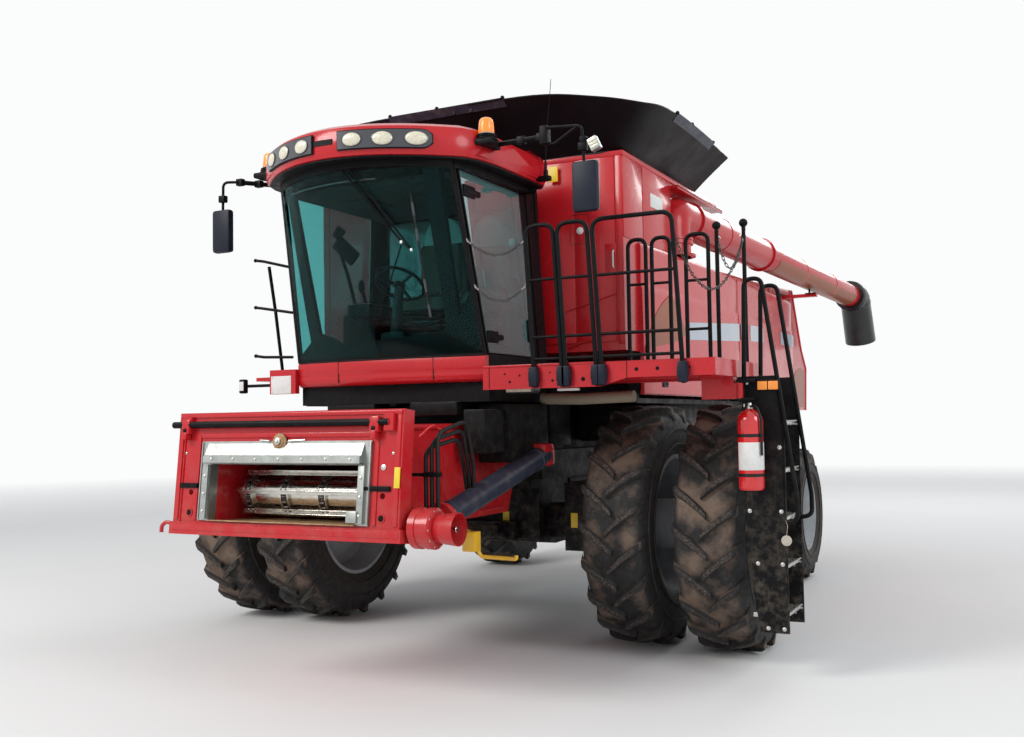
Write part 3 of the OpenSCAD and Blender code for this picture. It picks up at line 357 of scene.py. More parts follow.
def make_finishes():
    """Every finish of the machine, by the name that the pieces use."""
    c = colours()
    made = {}
    made["red"] = gloss_paint("red body paint", tuple(c.paint))
    # Painted light: the side panels share the body's paint, and this paler copy with more pale patches stands
    # in for the light on the machine's sides.
    made["side red painted lighter"] = gloss_paint(
        "red side panel paint painted lighter", tuple(min(1.0, v * 1.06 + 0.012) for v in c.paint), 0.45
    )
    made["black"] = satin_paint("black frame paint", tuple(c.dark_paint))
    made["rail"] = satin_paint("black rail paint", (0.004, 0.004, 0.005), 0.1)
    made["wheel"] = satin_paint("silver-grey wheel paint", tuple(c.wheel_paint), 0.3)
    made["casting"] = satin_paint("dark casting paint", (0.006, 0.006, 0.007), 0.3)
    made["yellow"] = gloss_paint("yellow lock paint", (0.75, 0.42, 0.02))

    f = plain_metal("galvanised sheet", (0.4, 0.42, 0.4), 0.4, 0.14, 9.0)
    f.tint((0.42, 0.44, 0.43), f.ramp(f.cells(38.0), 0.35, 0.8, 0.0, 0.5))
    f.tint((0.22, 0.13, 0.08), f.ramp(f.noise(12.0, 9.0, 0.7), 0.6, 0.82, 0.0, 0.55))
    made["galvanised"] = f.done()
    f = plain_metal("worn drum steel", (0.62, 0.6, 0.55), 0.22, 0.14, 14.0, (1.0, 6.0, 6.0))
    f.tint((0.2, 0.16, 0.12), f.ramp(f.noise(5.0, 9.0, 0.7), 0.52, 0.78, 0.0, 0.6))
    made["drum"] = f.done()
    f = plain_metal("rusty floor plate", (0.33, 0.19, 0.09), 0.62, 0.12, 16.0, None, 0.35)
    f.tint((0.5, 0.33, 0.17), f.ramp(f.noise(22.0, 9.0, 0.75), 0.42, 0.62, 0.0, 0.9))
    f.bump(f.noise(70.0, 8.0, 0.75), 0.5, 0.004)
    made["rusty"] = f.done()
    made["chain steel"] = plain_metal(
        "oiled chain steel", (0.1, 0.09, 0.085), 0.42, 0.1, 25.0, None, 0.8
    ).done()
    made["bolt"] = plain_metal("zinc bolt", (0.6, 0.6, 0.58), 0.32, 0.1, 60.0).done()
    made["dark bolt"] = plain_metal("dark bolt", (0.05, 0.05, 0.05), 0.42, 0.1, 60.0, None, 0.6).done()
    made["chrome"] = plain_metal("bright rod chrome", (0.8, 0.81, 0.82), 0.08, 0.05, 30.0).done()
    f = plain_metal("pressed aluminium tread", (0.62, 0.62, 0.6), 0.36, 0.12, 30.0)
    f.tint((0.3, 0.27, 0.22), f.ramp(f.noise(16.0, 8.0, 0.7), 0.5, 0.8, 0.0, 0.6))
    made["aluminium"] = f.done()

    f = Finish("black moulded plastic", (0.006, 0.006, 0.007), 0.46)
    f.set(Specular_IOR_Level=0.12)
    f.tint((0.014, 0.013, 0.013), f.ramp(f.noise(8.0, 8.0, 0.65), 0.5, 0.8, 0.0, 0.5))
    f.roughen(f.noise(14.0, 6.0), 0.3, 0.7, 0.36, 0.6)
    f.bump(f.noise(420.0, 2.0), 0.25, 0.0006)
    made["plastic"] = f.done()
    f = Finish("cab lining", (0.034, 0.022, 0.02), 0.7)
    f.set(Specular_IOR_Level=0.25)
    f.tint((0.05, 0.034, 0.03), f.ramp(f.noise(12.0, 6.0), 0.4, 0.7, 0.0, 0.6))
    f.bump(f.noise(260.0, 3.0), 0.35, 0.0008)
    made["lining"] = f.done()
    f = Finish("rubber hose", (0.008, 0.008, 0.009), 0.5)
    f.set(Specular_IOR_Level=0.3)
    f.roughen(f.noise(30.0, 6.0), 0.3, 0.7, 0.38, 0.62)
    f.bump(f.waves(160.0, "Z", 1.2), 0.12, 0.0006)
    made["hose"] = f.done()
    f = Finish("tank extension sheet", (0.006, 0.005, 0.006), 0.4)
    f.set(Specular_IOR_Level=0.12)
    f.tint((0.014, 0.009, 0.012), f.ramp(f.noise(1.6, 6.0, 0.6), 0.42, 0.72, 0.0, 0.7))
    f.tint(
        DUST, f.maths("MULTIPLY", f.facing_up(0.1, 1.0), f.ramp(f.noise(4.0, 9.0, 0.7), 0.4, 0.75, 0.0, 0.1))
    )
    f.roughen(f.noise(3.0, 7.0, 0.65), 0.3, 0.7, 0.28, 0.55)
    f.bump(f.noise(2.2, 2.0), 0.35, 0.012)
    made["sheet"] = f.done()
    f = Finish("spout rubber", (0.008, 0.008, 0.01), 0.3)
    f.set(Coat_Weight=0.25, Coat_Roughness=0.2)
    f.tint((0.03, 0.03, 0.032), f.ramp(f.noise(7.0, 7.0, 0.65), 0.45, 0.75, 0.0, 0.6))
    f.roughen(f.noise(8.0, 7.0), 0.3, 0.7, 0.22, 0.48)
    f.bump(f.noise(9.0, 4.0), 0.25, 0.006)
    made["boot"] = f.done()

    f = Finish("dark grey lamp panel", (0.045, 0.048, 0.058), 0.32)
    f.set(Coat_Weight=0.3)
    f.bump(f.noise(300.0, 2.0), 0.1, 0.0005)
    made["lamp panel"] = f.done()
    f = Finish("cream lamp lens", (0.74, 0.7, 0.55), 0.18)
    f.set(Coat_Weight=0.7, Coat_Roughness=0.05)
    f.tint((0.5, 0.46, 0.34), f.ramp(f.cells(70.0), 0.2, 0.9, 0.0, 0.5))
    f.bump(f.waves(34.0, "X"), 0.4, 0.002)
    made["lens"] = f.done()
    f = Finish("amber lens", (0.95, 0.3, 0.012), 0.16)
    f.set(Coat_Weight=0.8, Transmission_Weight=0.25, Emission_Strength=0.25)
    f.shader.inputs["Emission Color"].default_value = (1.0, 0.28, 0.01, 1.0)
    f.bump(f.waves(42.0, "Z"), 0.5, 0.002)
    made["amber"] = f.done()
    f = Finish("red tail lens", (0.6, 0.01, 0.012), 0.18)
    f.set(Coat_Weight=0.8)
    f.bump(f.cells(120.0, "DISTANCE_TO_EDGE"), 0.5, 0.001)
    made["tail lens"] = f.done()
    f = Finish("blue-black mirror shell", (0.01, 0.013, 0.024), 0.42)
    f.set(Specular_IOR_Level=0.18)
    f.tint((0.016, 0.02, 0.032), f.ramp(f.noise(9.0, 6.0), 0.4, 0.7, 0.0, 0.5))
    made["mirror shell"] = f.done()
    f = plain_metal("blue-grey drive tube paint", (0.03, 0.038, 0.062), 0.38, 0.1, 7.0, None, 0.2)
    f.tint(DUST, f.ramp(f.noise(11.0, 9.0, 0.7), 0.5, 0.8, 0.0, 0.35))
    made["drive tube"] = f.done()
    f = Finish("mirror glass", (0.85, 0.87, 0.88), 0.03, 1.0)
    f.roughen(f.noise(5.0, 4.0), 0.3, 0.7, 0.02, 0.06)
    made["mirror"] = f.done()
    for key, name, bend, coat in (
        ("glass", "green tinted windshield", 1.16, 0.0), ("side glass", "green tinted side glass", 1.45, 1.0)
    ):
        f = Finish(name, (0.36, 0.85, 0.84) if coat == 0.0 else (0.36, 0.7, 0.7), 0.0)
        f.set(
            Transmission_Weight=1.0 - 0.22 * coat, IOR=bend, Coat_Weight=coat, Coat_IOR=1.75,
            Coat_Roughness=0.0
        )
        f.bump(f.noise(0.8, 1.0), 0.02, 0.006)
        made[key] = f.done()
    f = Finish("seat cloth", (0.085, 0.06, 0.046), 0.92)
    f.set(Sheen_Weight=0.2, Sheen_Roughness=0.5)
    f.tint((0.05, 0.036, 0.028), f.ramp(f.waves(210.0, "X", 1.5), 0.3, 0.8, 0.0, 0.5))
    f.bump(f.maths("ADD", f.waves(240.0, "X", 0.6), f.waves(240.0, "Z", 0.6)), 0.5, 0.0012)
    f.tint((0.11, 0.085, 0.07), f.ramp(f.noise(9.0, 6.0), 0.5, 0.8, 0.0, 0.4))
    made["cloth"] = f.done()
    f = Finish("clear plastic cover", (0.8, 0.88, 0.84), 0.22)
    f.set(Transmission_Weight=0.25, IOR=1.3, Alpha=0.58)
    f.bump(f.noise(7.0, 6.0, 0.7), 0.9, 0.02)
    made["cover"] = f.done()
    f = Finish("extinguisher paint", (0.62, 0.01, 0.012), 0.18)
    f.set(Coat_Weight=0.8, Coat_Roughness=0.05)
    f.tint((0.4, 0.008, 0.01), f.ramp(f.noise(14.0, 6.0), 0.5, 0.8, 0.0, 0.5))
    f.bump(f.noise(40.0, 2.0), 0.05, 0.001)
    made["extinguisher"] = f.done()
    f = Finish("blank label", (0.72, 0.72, 0.7), 0.45)
    f.tint((0.55, 0.54, 0.5), f.ramp(f.noise(20.0, 8.0), 0.45, 0.75, 0.0, 0.5))
    made["label"] = f.done()
    f = Finish("yellow label", (0.8, 0.58, 0.03), 0.4)
    f.tint((0.6, 0.42, 0.05), f.ramp(f.noise(30.0, 8.0), 0.5, 0.8, 0.0, 0.5))
    made["yellow label"] = f.done()
    # Orange-brown paint of the stripes; the same finish also gives the painted reflection of the ground under
    # the auger tube.
    f = Finish("orange-brown side stripe and painted reflection", (0.3, 0.075, 0.022), 0.34)
    f.set(Coat_Weight=0.1, Specular_IOR_Level=0.25)
    f.tint((0.26, 0.05, 0.015), f.ramp(f.noise(3.0, 5.0), 0.4, 0.7, 0.0, 0.6))
    made["swoosh_and_painted_reflection"] = f.done()
    f = Finish("grey-blue side stripe", (0.36, 0.42, 0.5), 0.3)
    f.set(Coat_Weight=0.5)
    f.tint((0.48, 0.5, 0.54), f.ramp(f.noise(2.0, 5.0), 0.4, 0.7, 0.0, 0.7))
    made["grey stripe"] = f.done()
    f = Finish("tan insulation cover", (0.33, 0.28, 0.2), 0.75)
    f.bump(f.waves(50.0, "Y", 2.0), 0.4, 0.003)
    made["tan"] = f.done()
    f = Finish("pale handle rubber", (0.5, 0.46, 0.38), 0.6)
    f.tint((0.36, 0.33, 0.27), f.ramp(f.noise(30.0, 6.0), 0.4, 0.7, 0.0, 0.6))
    made["tag"] = f.done()
    return made


FINISHES = {}


def finish(name):
    if "red" not in FINISHES:
        FINISHES.update(make_finishes())
    return FINISHES[name]


# Mesh helpers


def piece(name, verts, faces, finish_name, body, smooth=True, parts=None):
    """Makes one mesh piece that rides on a body. parts gives further finishes by face number."""
    mesh = bpy.data.meshes.new(name)
    mesh.from_pydata([tuple(v) for v in verts], [], faces)
    mesh.materials.append(finish(finish_name))
    if parts:
        for extra, chosen in parts.items():
            mesh.materials.append(finish(extra))
            for index in chosen:
                mesh.polygons[index].material_index = len(mesh.materials) - 1
    mesh.update()
    tidy = bmesh.new()
    tidy.from_mesh(mesh)
    bmesh.ops.recalc_face_normals(tidy, faces=tidy.faces)
    tidy.to_mesh(mesh)
    tidy.free()
    if smooth:
        mesh.shade_smooth()
        mesh.set_sharp_from_angle(angle=math.radians(38))
    made = bpy.data.objects.new(name, mesh)
    bpy.context.scene.collection.objects.link(made)
    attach(made, body)
    return made


def ring_faces(count, sides, closed=False):
    """The faces between rings of points that follow each other."""
    made = []
    for i in range(count if closed else count - 1):
        j = (i + 1) % count
        for k in range(sides):
            n = (k + 1) % sides
            made.append((i * sides + k, i * sides + n, j * sides + n, j * sides + k))
    return made


class Shapes:
    """Collects like shapes into one mesh. Places are the machine's own, or those of a leaning face."""

    def __init__(self, place=at):
        self.place = place
        self.verts = []
        self.faces = []

    def add(self, verts, faces):
        start = len(self.verts)
        self.verts.extend(Vector(v) for v in verts)
        self.faces.extend([tuple(start + i for i in face) for face in faces])
        return self

    def block(self, low, high, bevel=0.0):
        """A block between two machine-frame corners, with its edges cut back."""
        low, high = Vector(low), Vector(high)
        edges = min(bevel, min(high - low) * 0.45)
        if edges <= 0.0:
            corners = [(x, y, z) for x in (low.x, high.x) for y in (low.y, high.y) for z in (low.z, high.z)]
            return self.add([self.place(*c) for c in corners], BLOCK_FACES)
        source = bmesh.new()
        bmesh.ops.create_cube(source, size=1.0)
        for v in source.verts:
            v.co = Vector(low[i] + (v.co[i] + 0.5) * (high[i] - low[i]) for i in range(3))
        bmesh.ops.bevel(source, geom=source.edges[:], offset=edges, segments=2, affect="EDGES", profile=0.6)
        source.verts.index_update()
        self.add(
            [self.place(*v.co) for v in source.verts], [[v.index for v in f.verts] for f in source.faces]
        )
        source.free()
        return self

    def tube(self, path, radius, sides=12, closed_ends=True, bend=0.0, steps=6, ring=False):
        """A round tube swept along a row of machine-frame points, rounded at its corners."""
        points = [self.place(*p) for p in (rounded(path, bend, steps) if bend > 0.0 else path)]
        return self.add(*swept(points, radius, sides, closed_ends, ring))

    def ball(self, centre, radius, squash=(1.0, 1.0, 1.0), sides=20, rings=12):
        source = bmesh.new()
        bmesh.ops.create_uvsphere(source, u_segments=sides, v_segments=rings, radius=radius)
        middle = self.place(*centre)
        self.add(
            [middle + Vector(v.co[i] * squash[i] for i in range(3)) for v in source.verts],
            [[v.index for v in f.verts] for f in source.faces],
        )
        source.free()
        return self

    def prism(self, outline, axis, low, high, bevel=0.0):
        """An outline in the two other axes, given thickness along one axis."""
        first, second = [i for i in range(3) if i != axis]
        n = len(outline)
        verts = []
        for level in (low, high):
            for a, b in outline:
                p = [0.0, 0.0, 0.0]
                p[axis], p[first], p[second] = level, a, b
                verts.append(self.place(*p))
        faces = [tuple(range(n)), tuple(range(n, 2 * n))]
        faces += [(i, (i + 1) % n, n + (i + 1) % n, n + i) for i in range(n)]
        if bevel <= 0.0:
            return self.add(verts, faces)
        source = bmesh.new()
        made = [source.verts.new(v) for v in verts]
        for face in faces:
            source.faces.new([made[i] for i in face])
        bmesh.ops.recalc_face_normals(source, faces=source.faces[:])
        bmesh.ops.bevel(
            source, geom=source.edges[:], offset=bevel, segments=2, affect="EDGES", profile=0.6,
            clamp_overlap=True
        )
        source.verts.index_update()
        self.add([v.co.copy() for v in source.verts], [[v.index for v in f.verts] for f in source.faces])
        source.free()
        return self

    def turned(self, centre, axis, profile, sides=32, closed=False):
        """A profile of distances along the axis and radii, turned about the axis."""
        tip = self.place(*(Vector(centre) + Vector(axis)))
        centre = self.place(*centre)
        axis = (tip - centre).normalized()
        u = axis.orthogonal().normalized()
        v = axis.cross(u)
        rows = []
        turns = [2 * math.pi * k / sides for k in range(sides)]
        for along, radius in profile:
            middle = centre + axis * along
            rows.append([middle + (u * math.cos(a) + v * math.sin(a)) * radius for a in turns])
        verts = [p for row in rows for p in row]
        faces = ring_faces(len(rows), sides, closed)
        if not closed:
            faces.append(tuple(range(sides)))
            faces.append(tuple(range((len(rows) - 1) * sides, len(rows) * sides)))
        return self.add(verts, faces)

    def bolt(self, place, axis, radius=None, height=0.01):
        """A six-sided bolt head on a round washer."""
        radius = radius or sizes().bolt_radius
        self.turned(place, axis, [(0.0, radius * 1.35), (height * 0.25, radius * 1.35)], 14)
        return self.turned(
            place, axis, [(height * 0.2, radius), (height * 0.85, radius), (height, radius * 0.8)], 6
        )

    def sheet(self, rows):
        """A skin through rows of points with as many points in each."""
        n = len(rows[0])
        verts = [p for row in rows for p in row]
        faces = [
            (i * n + j, i * n + j + 1, (i + 1) * n + j + 1, (i + 1) * n + j)
            for i in range(len(rows) - 1) for j in range(n - 1)
        ]
        return self.add(verts, faces)

    def piece(self, name, finish_name, body, smooth=True):
        return piece(name, self.verts, self.faces, finish_name, body, smooth)


BLOCK_FACES = [(0, 1, 3, 2), (4, 6, 7, 5), (0, 4, 5, 1), (2, 3, 7, 6), (0, 2, 6, 4), (1, 5, 7, 3)]


def rounded(path, bend, steps=6):
    """A row of points with each inner corner turned into an arc."""
    path = [Vector(p) for p in path]
    made = [path[0]]
    for before, corner, after in zip(path, path[1:], path[2:]):
        into, away = (corner - before).normalized(), (after - corner).normalized()
        turn = into.angle(away)
        if turn < 0.02:
            made.append(corner)
            continue
        reach = min(
            bend * math.tan(turn / 2), (corner - before).length * 0.49, (after - corner).length * 0.49
        )
        start, end = corner - into * reach, corner + away * reach
        for k in range(steps + 1):
            t = k / steps
            made.append(start * (1 - t) ** 2 + corner * 2 * t * (1 - t) + end * t ** 2)
    made.append(path[-1])
    return made


def swept(points, radius, sides, closed_ends=True, ring=False):
    """Rings of points round a path, kept from twisting, as vertices and faces."""
    count = len(points)
    tangents = []
    for i in range(count):
        if ring:
            tangents.append((points[(i + 1) % count] - points[i - 1]).normalized())
        else:
            tangents.append((points[min(i + 1, count - 1)] - points[max(i - 1, 0)]).normalized())
    side = tangents[0].orthogonal().normalized()
    verts = []
    for i, (p, t) in enumerate(zip(points, tangents)):
        side = (side - t * side.dot(t)).normalized()
        other = t.cross(side)
        r = radius[i] if isinstance(radius, (list, tuple)) else radius
        for k in range(sides):
            a = 2 * math.pi * k / sides
            verts.append(p + (side * math.cos(a) + other * math.sin(a)) * r)
    faces = ring_faces(count, sides, ring)
    if closed_ends and not ring:
        faces.append(tuple(range(sides)))
        faces.append(tuple(range((count - 1) * sides, count * sides)))
    return verts, faces


def smooth_curve(points, steps=8):
    """A smooth curve through a row of points."""
    points = [Vector(p) for p in points]
    padded = [points[0] * 2 - points[1], *points, points[-1] * 2 - points[-2]]
    made = []
    for a, b, c, d in zip(padded, padded[1:], padded[2:], padded[3:]):
        for k in range(steps):
            t = k / steps
            squared, cubed = 2 * a - 5 * b + 4 * c - d, 3 * b - a - 3 * c + d
            made.append(0.5 * (2 * b + (c - a) * t + squared * t ** 2 + cubed * t ** 3))
    made.append(points[-1])
    return made


def dress(nodes, finish_name):
    """Gives CAD nodes their finish."""
    for name in nodes:
        node = frame["nodes"][name]
        if not node.material_slots:
            node.data.materials.append(finish(finish_name))
        for slot in node.material_slots:
            slot.material = finish(finish_name)


FACE_LEAN = math.radians(6.3)


def on_face(x, y, z):
    """A place on the header face, given before the face leans back from its foot."""
    away, up = math.sin(FACE_LEAN), math.cos(FACE_LEAN)
    return at(x, -2.778 + y * up + z * away, 1.105 - y * away + z * up)


class PieceOperator:
    """What every operator of the harvester shares."""

    bl_options = {"REGISTER", "UNDO"}


# Wheels


def tyre_rows(radius, width, bead, lug):
    """Carcass profile across the wheel: distance from the middle plane and radius."""
    half = width / 2
    tread = radius - lug
    wall = tread - bead
    side = [
        (half - 0.071, bead - 0.002), (half - 0.056, bead + 0.01), (half - 0.043, bead + 0.03),
        (half - 0.027, bead + wall * 0.16), (half - 0.007, bead + wall * 0.34),
        (half - 0.003, bead + wall * 0.52), (half - 0.012, bead + wall * 0.7),
        (half - 0.03, bead + wall * 0.86), (half - 0.052, bead + wall * 0.95), (half - 0.085, tread - 0.003),
        (half - 0.15, tread + 0.001),
    ]
    return side + [(0.0, tread + 0.003)] + [(-x, r) for x, r in reversed(side)]


def tread_radius_at(x, radius, width):
    """Radius over the lugs at a distance from the middle plane."""
    return radius - 0.022 * max(0.0, abs(x) / (width / 2) - 0.2) ** 2


def lug_shapes(shapes, centre, radius, width, lug, count, side, turn):
    """The bars of one side of a tread: each starts past the middle and sweeps back to the shoulder."""
    half = width / 2
    stations = 9
    reach = half + 0.03
    for n in range(count):
        base = 2 * math.pi * (n + (0.5 if side < 0 else 0.0)) / count
        rng = random.Random(n * 7 + (1 if side > 0 else 3))
        jitter = rng.uniform(-0.002, 0.002)
        rows = []
        for s in range(stations):
            t = s / (stations - 1)
            across = -0.022 + reach * t
            over = max(0.0, across - (half - 0.045))
            across = min(across, half - 0.045 + over * 0.55)
            back = (0.3 * t - 0.075 * t * t) / radius
            half_top = 0.019 + 0.01 * t + jitter
            half_foot = 0.034 + 0.012 * t
            top = tread_radius_at(across, radius, width) - over * 0.95 - (0.006 if s == 0 else 0.0)
            foot = radius - lug - 0.012 - over * 1.1
            if s == stations - 1:
                top = foot + 0.012
            row = []
            for offset, level in (
                (-half_foot, foot), (-half_top - 0.003, top - 0.006), (-half_top + 0.004, top),
                (half_top - 0.004, top), (half_top + 0.003, top - 0.006), (half_foot, foot)
            ):
                angle = base + turn * (back + offset / radius)
                x = side * across
                row.append(centre + Vector((x, -math.cos(angle) * level, math.sin(angle) * level)))
            rows.append(row)
        shapes.sheet(rows)
        first, last = rows[0], rows[-1]
        shapes.add(first, [(0, 1, 2, 3, 4, 5)])
        shapes.add(last, [(0, 1, 2, 3, 4, 5)])


def tyre_shapes(shapes, centre, radius, width, bead, lug, count):
    sides = 120
    rows = tyre_rows(radius, width, bead, lug)
    verts = []
    for x, r in rows:
        for k in range(sides):
            a = 2 * math.pi * k / sides
            verts.append(centre + Vector((x, -math.cos(a) * r, math.sin(a) * r)))
    shapes.add(verts, ring_faces(len(rows), sides, True))
    # Raised rings on both walls, as the mould leaves them
    for side in (-1, 1):
        for share, rise in ((0.3, 0.004), (0.62, 0.004)):
            half = width / 2
            tread = radius - lug
            r0 = bead + (tread - bead) * share
            x0 = side * (half - (0.01 if share < 0.5 else 0.009))
            ring_verts = []
            profile = [
                (x0, r0 - 0.01), (x0 + side * (rise + 0.006), r0 - 0.006),
                (x0 + side * (rise + 0.006), r0 + 0.006), (x0, r0 + 0.01)
            ]
            for x, r in profile:
                for k in range(sides):
                    a = 2 * math.pi * k / sides
                    ring_verts.append(centre + Vector((x, -math.cos(a) * r, math.sin(a) * r)))
            shapes.add(ring_verts, ring_faces(len(profile), sides))
    for side in (-1, 1):
        lug_shapes(shapes, centre, radius, width, lug, count, side, 1.0)
    return shapes


FRONT_TYRE = {"radius": 0.96, "width": 0.54, "bead": 0.533}
REAR_TYRE = {"radius": 0.725, "width": 0.54, "bead": 0.382}
INNER_WHEEL_X = 1.57
REAR_WHEEL_X = 1.8
REAR_AXLE_Y = 3.86
DUAL_PITCH = 0.73


def rim_profile(bead, half, dish, hub, side):
    """A rolled rim and its dished disc, as distance along the axle and radius; side is the way it faces."""
    return [
        (-half - 0.012, bead + 0.026), (-half - 0.006, bead + 0.029), (-half, bead + 0.024),
        (-half + 0.01, bead), (-half + 0.06, bead - 0.006), (-half + 0.085, bead - 0.04),
        (half - 0.085, bead - 0.04), (half - 0.06, bead - 0.006), (half - 0.01, bead), (half, bead + 0.024),
        (half + 0.006, bead + 0.029), (half + 0.012, bead + 0.026), (half + 0.012, bead - 0.004),
        (half - 0.03, bead - 0.014), (half - 0.075, bead - 0.048), (dish + side * 0.02 + 0.03, bead - 0.056),
        (dish + side * 0.02, bead - 0.1), (dish - side * 0.035, hub + 0.13),
        (dish - side * 0.005, hub + 0.08), (dish - side * 0.002, hub), (dish - side * 0.002 - 0.014, hub),
        (dish - side * 0.005 - 0.014, hub + 0.08), (dish - side * 0.035 - 0.014, hub + 0.13),
        (dish + side * 0.02 - 0.014, bead - 0.1), (dish + side * 0.02 - 0.044, bead - 0.056),
        (-half + 0.075, bead - 0.048), (-half + 0.03, bead - 0.014),
        (-half - 0.012, bead - 0.004),
    ]


def rim_shapes(shapes, centre, bead, dish, hub, side):
    x, y, z = centre
    shapes.turned((x, y, z), (1, 0, 0), rim_profile(bead, 0.215, dish, hub, side), 72, closed=True)


def bolt_circle(shapes, centre, radius, count, axis, bolt_radius=0.016, height=0.02):
    x, y, z = centre
    for k in range(count):
        a = 2 * math.pi * (k + 0.5) / count
        shapes.bolt((x, y + math.cos(a) * radius, z + math.sin(a) * radius), axis, bolt_radius, height)


class HARVESTER_OT_front_wheels(PieceOperator, bpy.types.Operator):
    """Dual front tyres with their tread lugs, and their dished rims"""

    bl_idname = "harvester.front_wheels"
    bl_label = "Front wheels"

    def execute(self, context):
        lug = sizes().lug_height
        for word, side in (("left", 1), ("right", -1)):
            body = "front_wheels_" + word
            hub = wheel_centre(body + "_spin")
            FINISHES["tyre " + word] = tyre_rubber("front tyre rubber " + word, hub, FRONT_TYRE["radius"])
            tyres = Shapes()
            for k in (0, 1):
                centre = hub + Vector((side * DUAL_PITCH * k, 0, 0))
                tyre_shapes(tyres, centre, **FRONT_TYRE, lug=lug, count=sizes().lug_count)
            made = tyres.piece("front_duals_" + word, "tyre " + word, body)
            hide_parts("front_tyres_" + word)
            rims = Shapes()
            inner = side * INNER_WHEEL_X
            outer = side * (INNER_WHEEL_X + DUAL_PITCH)
            z, bead = FRONT_TYRE["radius"], FRONT_TYRE["bead"]
            rim_shapes(rims, (inner, 0, z), bead, 0.0, 0.16, side)
            rim_shapes(rims, (outer, 0, z), bead, side * -0.06, 0.16, side)
            rims.turned(
                (side * 1.241, 0, z), (side, 0, 0),
                [
                    (0, 0.168), (0.3, 0.168), (0.36, 0.168), (0.39, 0.2), (1.0, 0.2), (1.02, 0.165),
                    (1.03, 0.165)
                ],
                48
            )
            rims.turned(
                (outer - side * 0.03, 0, z), (side, 0, 0),
                [(0.0, 0.17), (0.07, 0.168), (0.085, 0.15), (0.088, 0.09), (0.12, 0.084), (0.124, 0.0)], 48
            )
            made = rims.piece("front_rims_" + word + "_painted", "wheel", body)
            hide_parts("front_rims_" + word)
            bolts = Shapes()
            bolt_circle(bolts, (outer - side * 0.055, 0, z), 0.222, 10, (side, 0, 0), 0.018, 0.03)
            bolt_circle(bolts, (outer + side * 0.04, 0, z), 0.13, 10, (side, 0, 0), 0.014, 0.022)
            bolt_circle(bolts, (outer - side * 0.01, 0, z), 0.4, 8, (side, 0, 0), 0.014, 0.02)
            bolts.piece("front_wheel_nuts_" + word, "dark bolt", body)
        return {"FINISHED"}


class HARVESTER_OT_rear_wheels(PieceOperator, bpy.types.Operator):
    """Single rear tyres with their tread lugs, rims and hubs"""

    bl_idname = "harvester.rear_wheels"
    bl_label = "Rear wheels"

    def execute(self, context):
        lug = sizes().lug_height * 0.85
        for word, side in (("left", 1), ("right", -1)):
            body = "rear_wheel_" + word
            hub = wheel_centre(body + "_spin")
            FINISHES["rear tyre " + word] = tyre_rubber("rear tyre rubber " + word, hub, REAR_TYRE["radius"])
            tyre = tyre_shapes(Shapes(), hub, **REAR_TYRE, lug=lug, count=sizes().rear_lug_count)
            made = tyre.piece("rear_tread_" + word, "rear tyre " + word, body)
            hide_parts("rear_tyre_" + word)
            x, z = side * REAR_WHEEL_X, REAR_TYRE["radius"]
            rims = Shapes()
            rim_shapes(rims, (x, REAR_AXLE_Y, z), REAR_TYRE["bead"], side * -0.02, 0.11, side)
            rims.turned(
                (x - side * 0.16, REAR_AXLE_Y, z), (side, 0, 0),
                [(0, 0.115), (0.19, 0.115), (0.235, 0.1), (0.24, 0.062), (0.262, 0.058), (0.266, 0.0)], 40
            )
            made = rims.piece("rear_rim_" + word + "_painted", "wheel", body)
            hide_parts("rear_rim_" + word)
            bolts = Shapes()
            bolt_circle(bolts, (x - side * 0.014, REAR_AXLE_Y, z), 0.15, 8, (side, 0, 0), 0.015, 0.024)
            bolts.piece("rear_wheel_nuts_" + word, "dark bolt", body)
        return {"FINISHED"}


# Body and tank


def door_out_x(y):
    """Outside of the side doors: one long arc in plan."""
    return 1.6 - (y - 2.78) ** 2 / 140.0


def closed_loft(shapes, rows):
    """A skin through closed outlines, with flat ends."""
    n = len(rows[0])
    verts = [p for row in rows for p in row]
    faces = ring_faces(len(rows), n)
    faces.append(tuple(range(n)))
    faces.append(tuple(range((len(rows) - 1) * n, len(rows) * n)))
    return shapes.add(verts, faces)


def steps(low, high, count):
    return [low + (high - low) * i / count for i in range(count + 1)]


DOOR_TOP = 3.28
SIDE_DOORS = [
    # node word, front y, rear y, low z at the front, low z at the rear
    ("front", 0.02, 2.77, 2.01, 2.01),
    ("rear", 2.79, 5.54, 2.01, 1.91),
]


def door_section(side, y, low, inset=0.0):
    """One cut through a pressed side door: rolled edges, a swage line and a slight crown."""
    out = door_out_x(y) - inset
    top = DOOR_TOP
    marks = [
        (0.038, low + 0.006), (0.03, low), (0.014, low + 0.002), (0.005, low + 0.01), (0.002, low + 0.03)
    ]
    for z in steps(low + 0.1, 2.86, 8):
        t = (z - low) / (2.86 - low)
        marks.append((0.003 * (2 * t - 1) ** 2, z))
    marks += [(0.003, 2.895), (0.014, 2.925), (0.016, 2.95)]
    marks += [(0.016 - 0.006 * i / 3, 2.95 + (top - 0.05 - 2.95) * i / 3) for i in (1, 2, 3)]
    marks += [(0.011, top - 0.02), (0.018, top - 0.004), (0.034, top)]
    outer = [at(side * (out - d), y, z) for d, z in marks]
    inner = [at(side * (out - 0.039), y, z) for z in (top - 0.004, low + 0.01)]
    return outer + inner


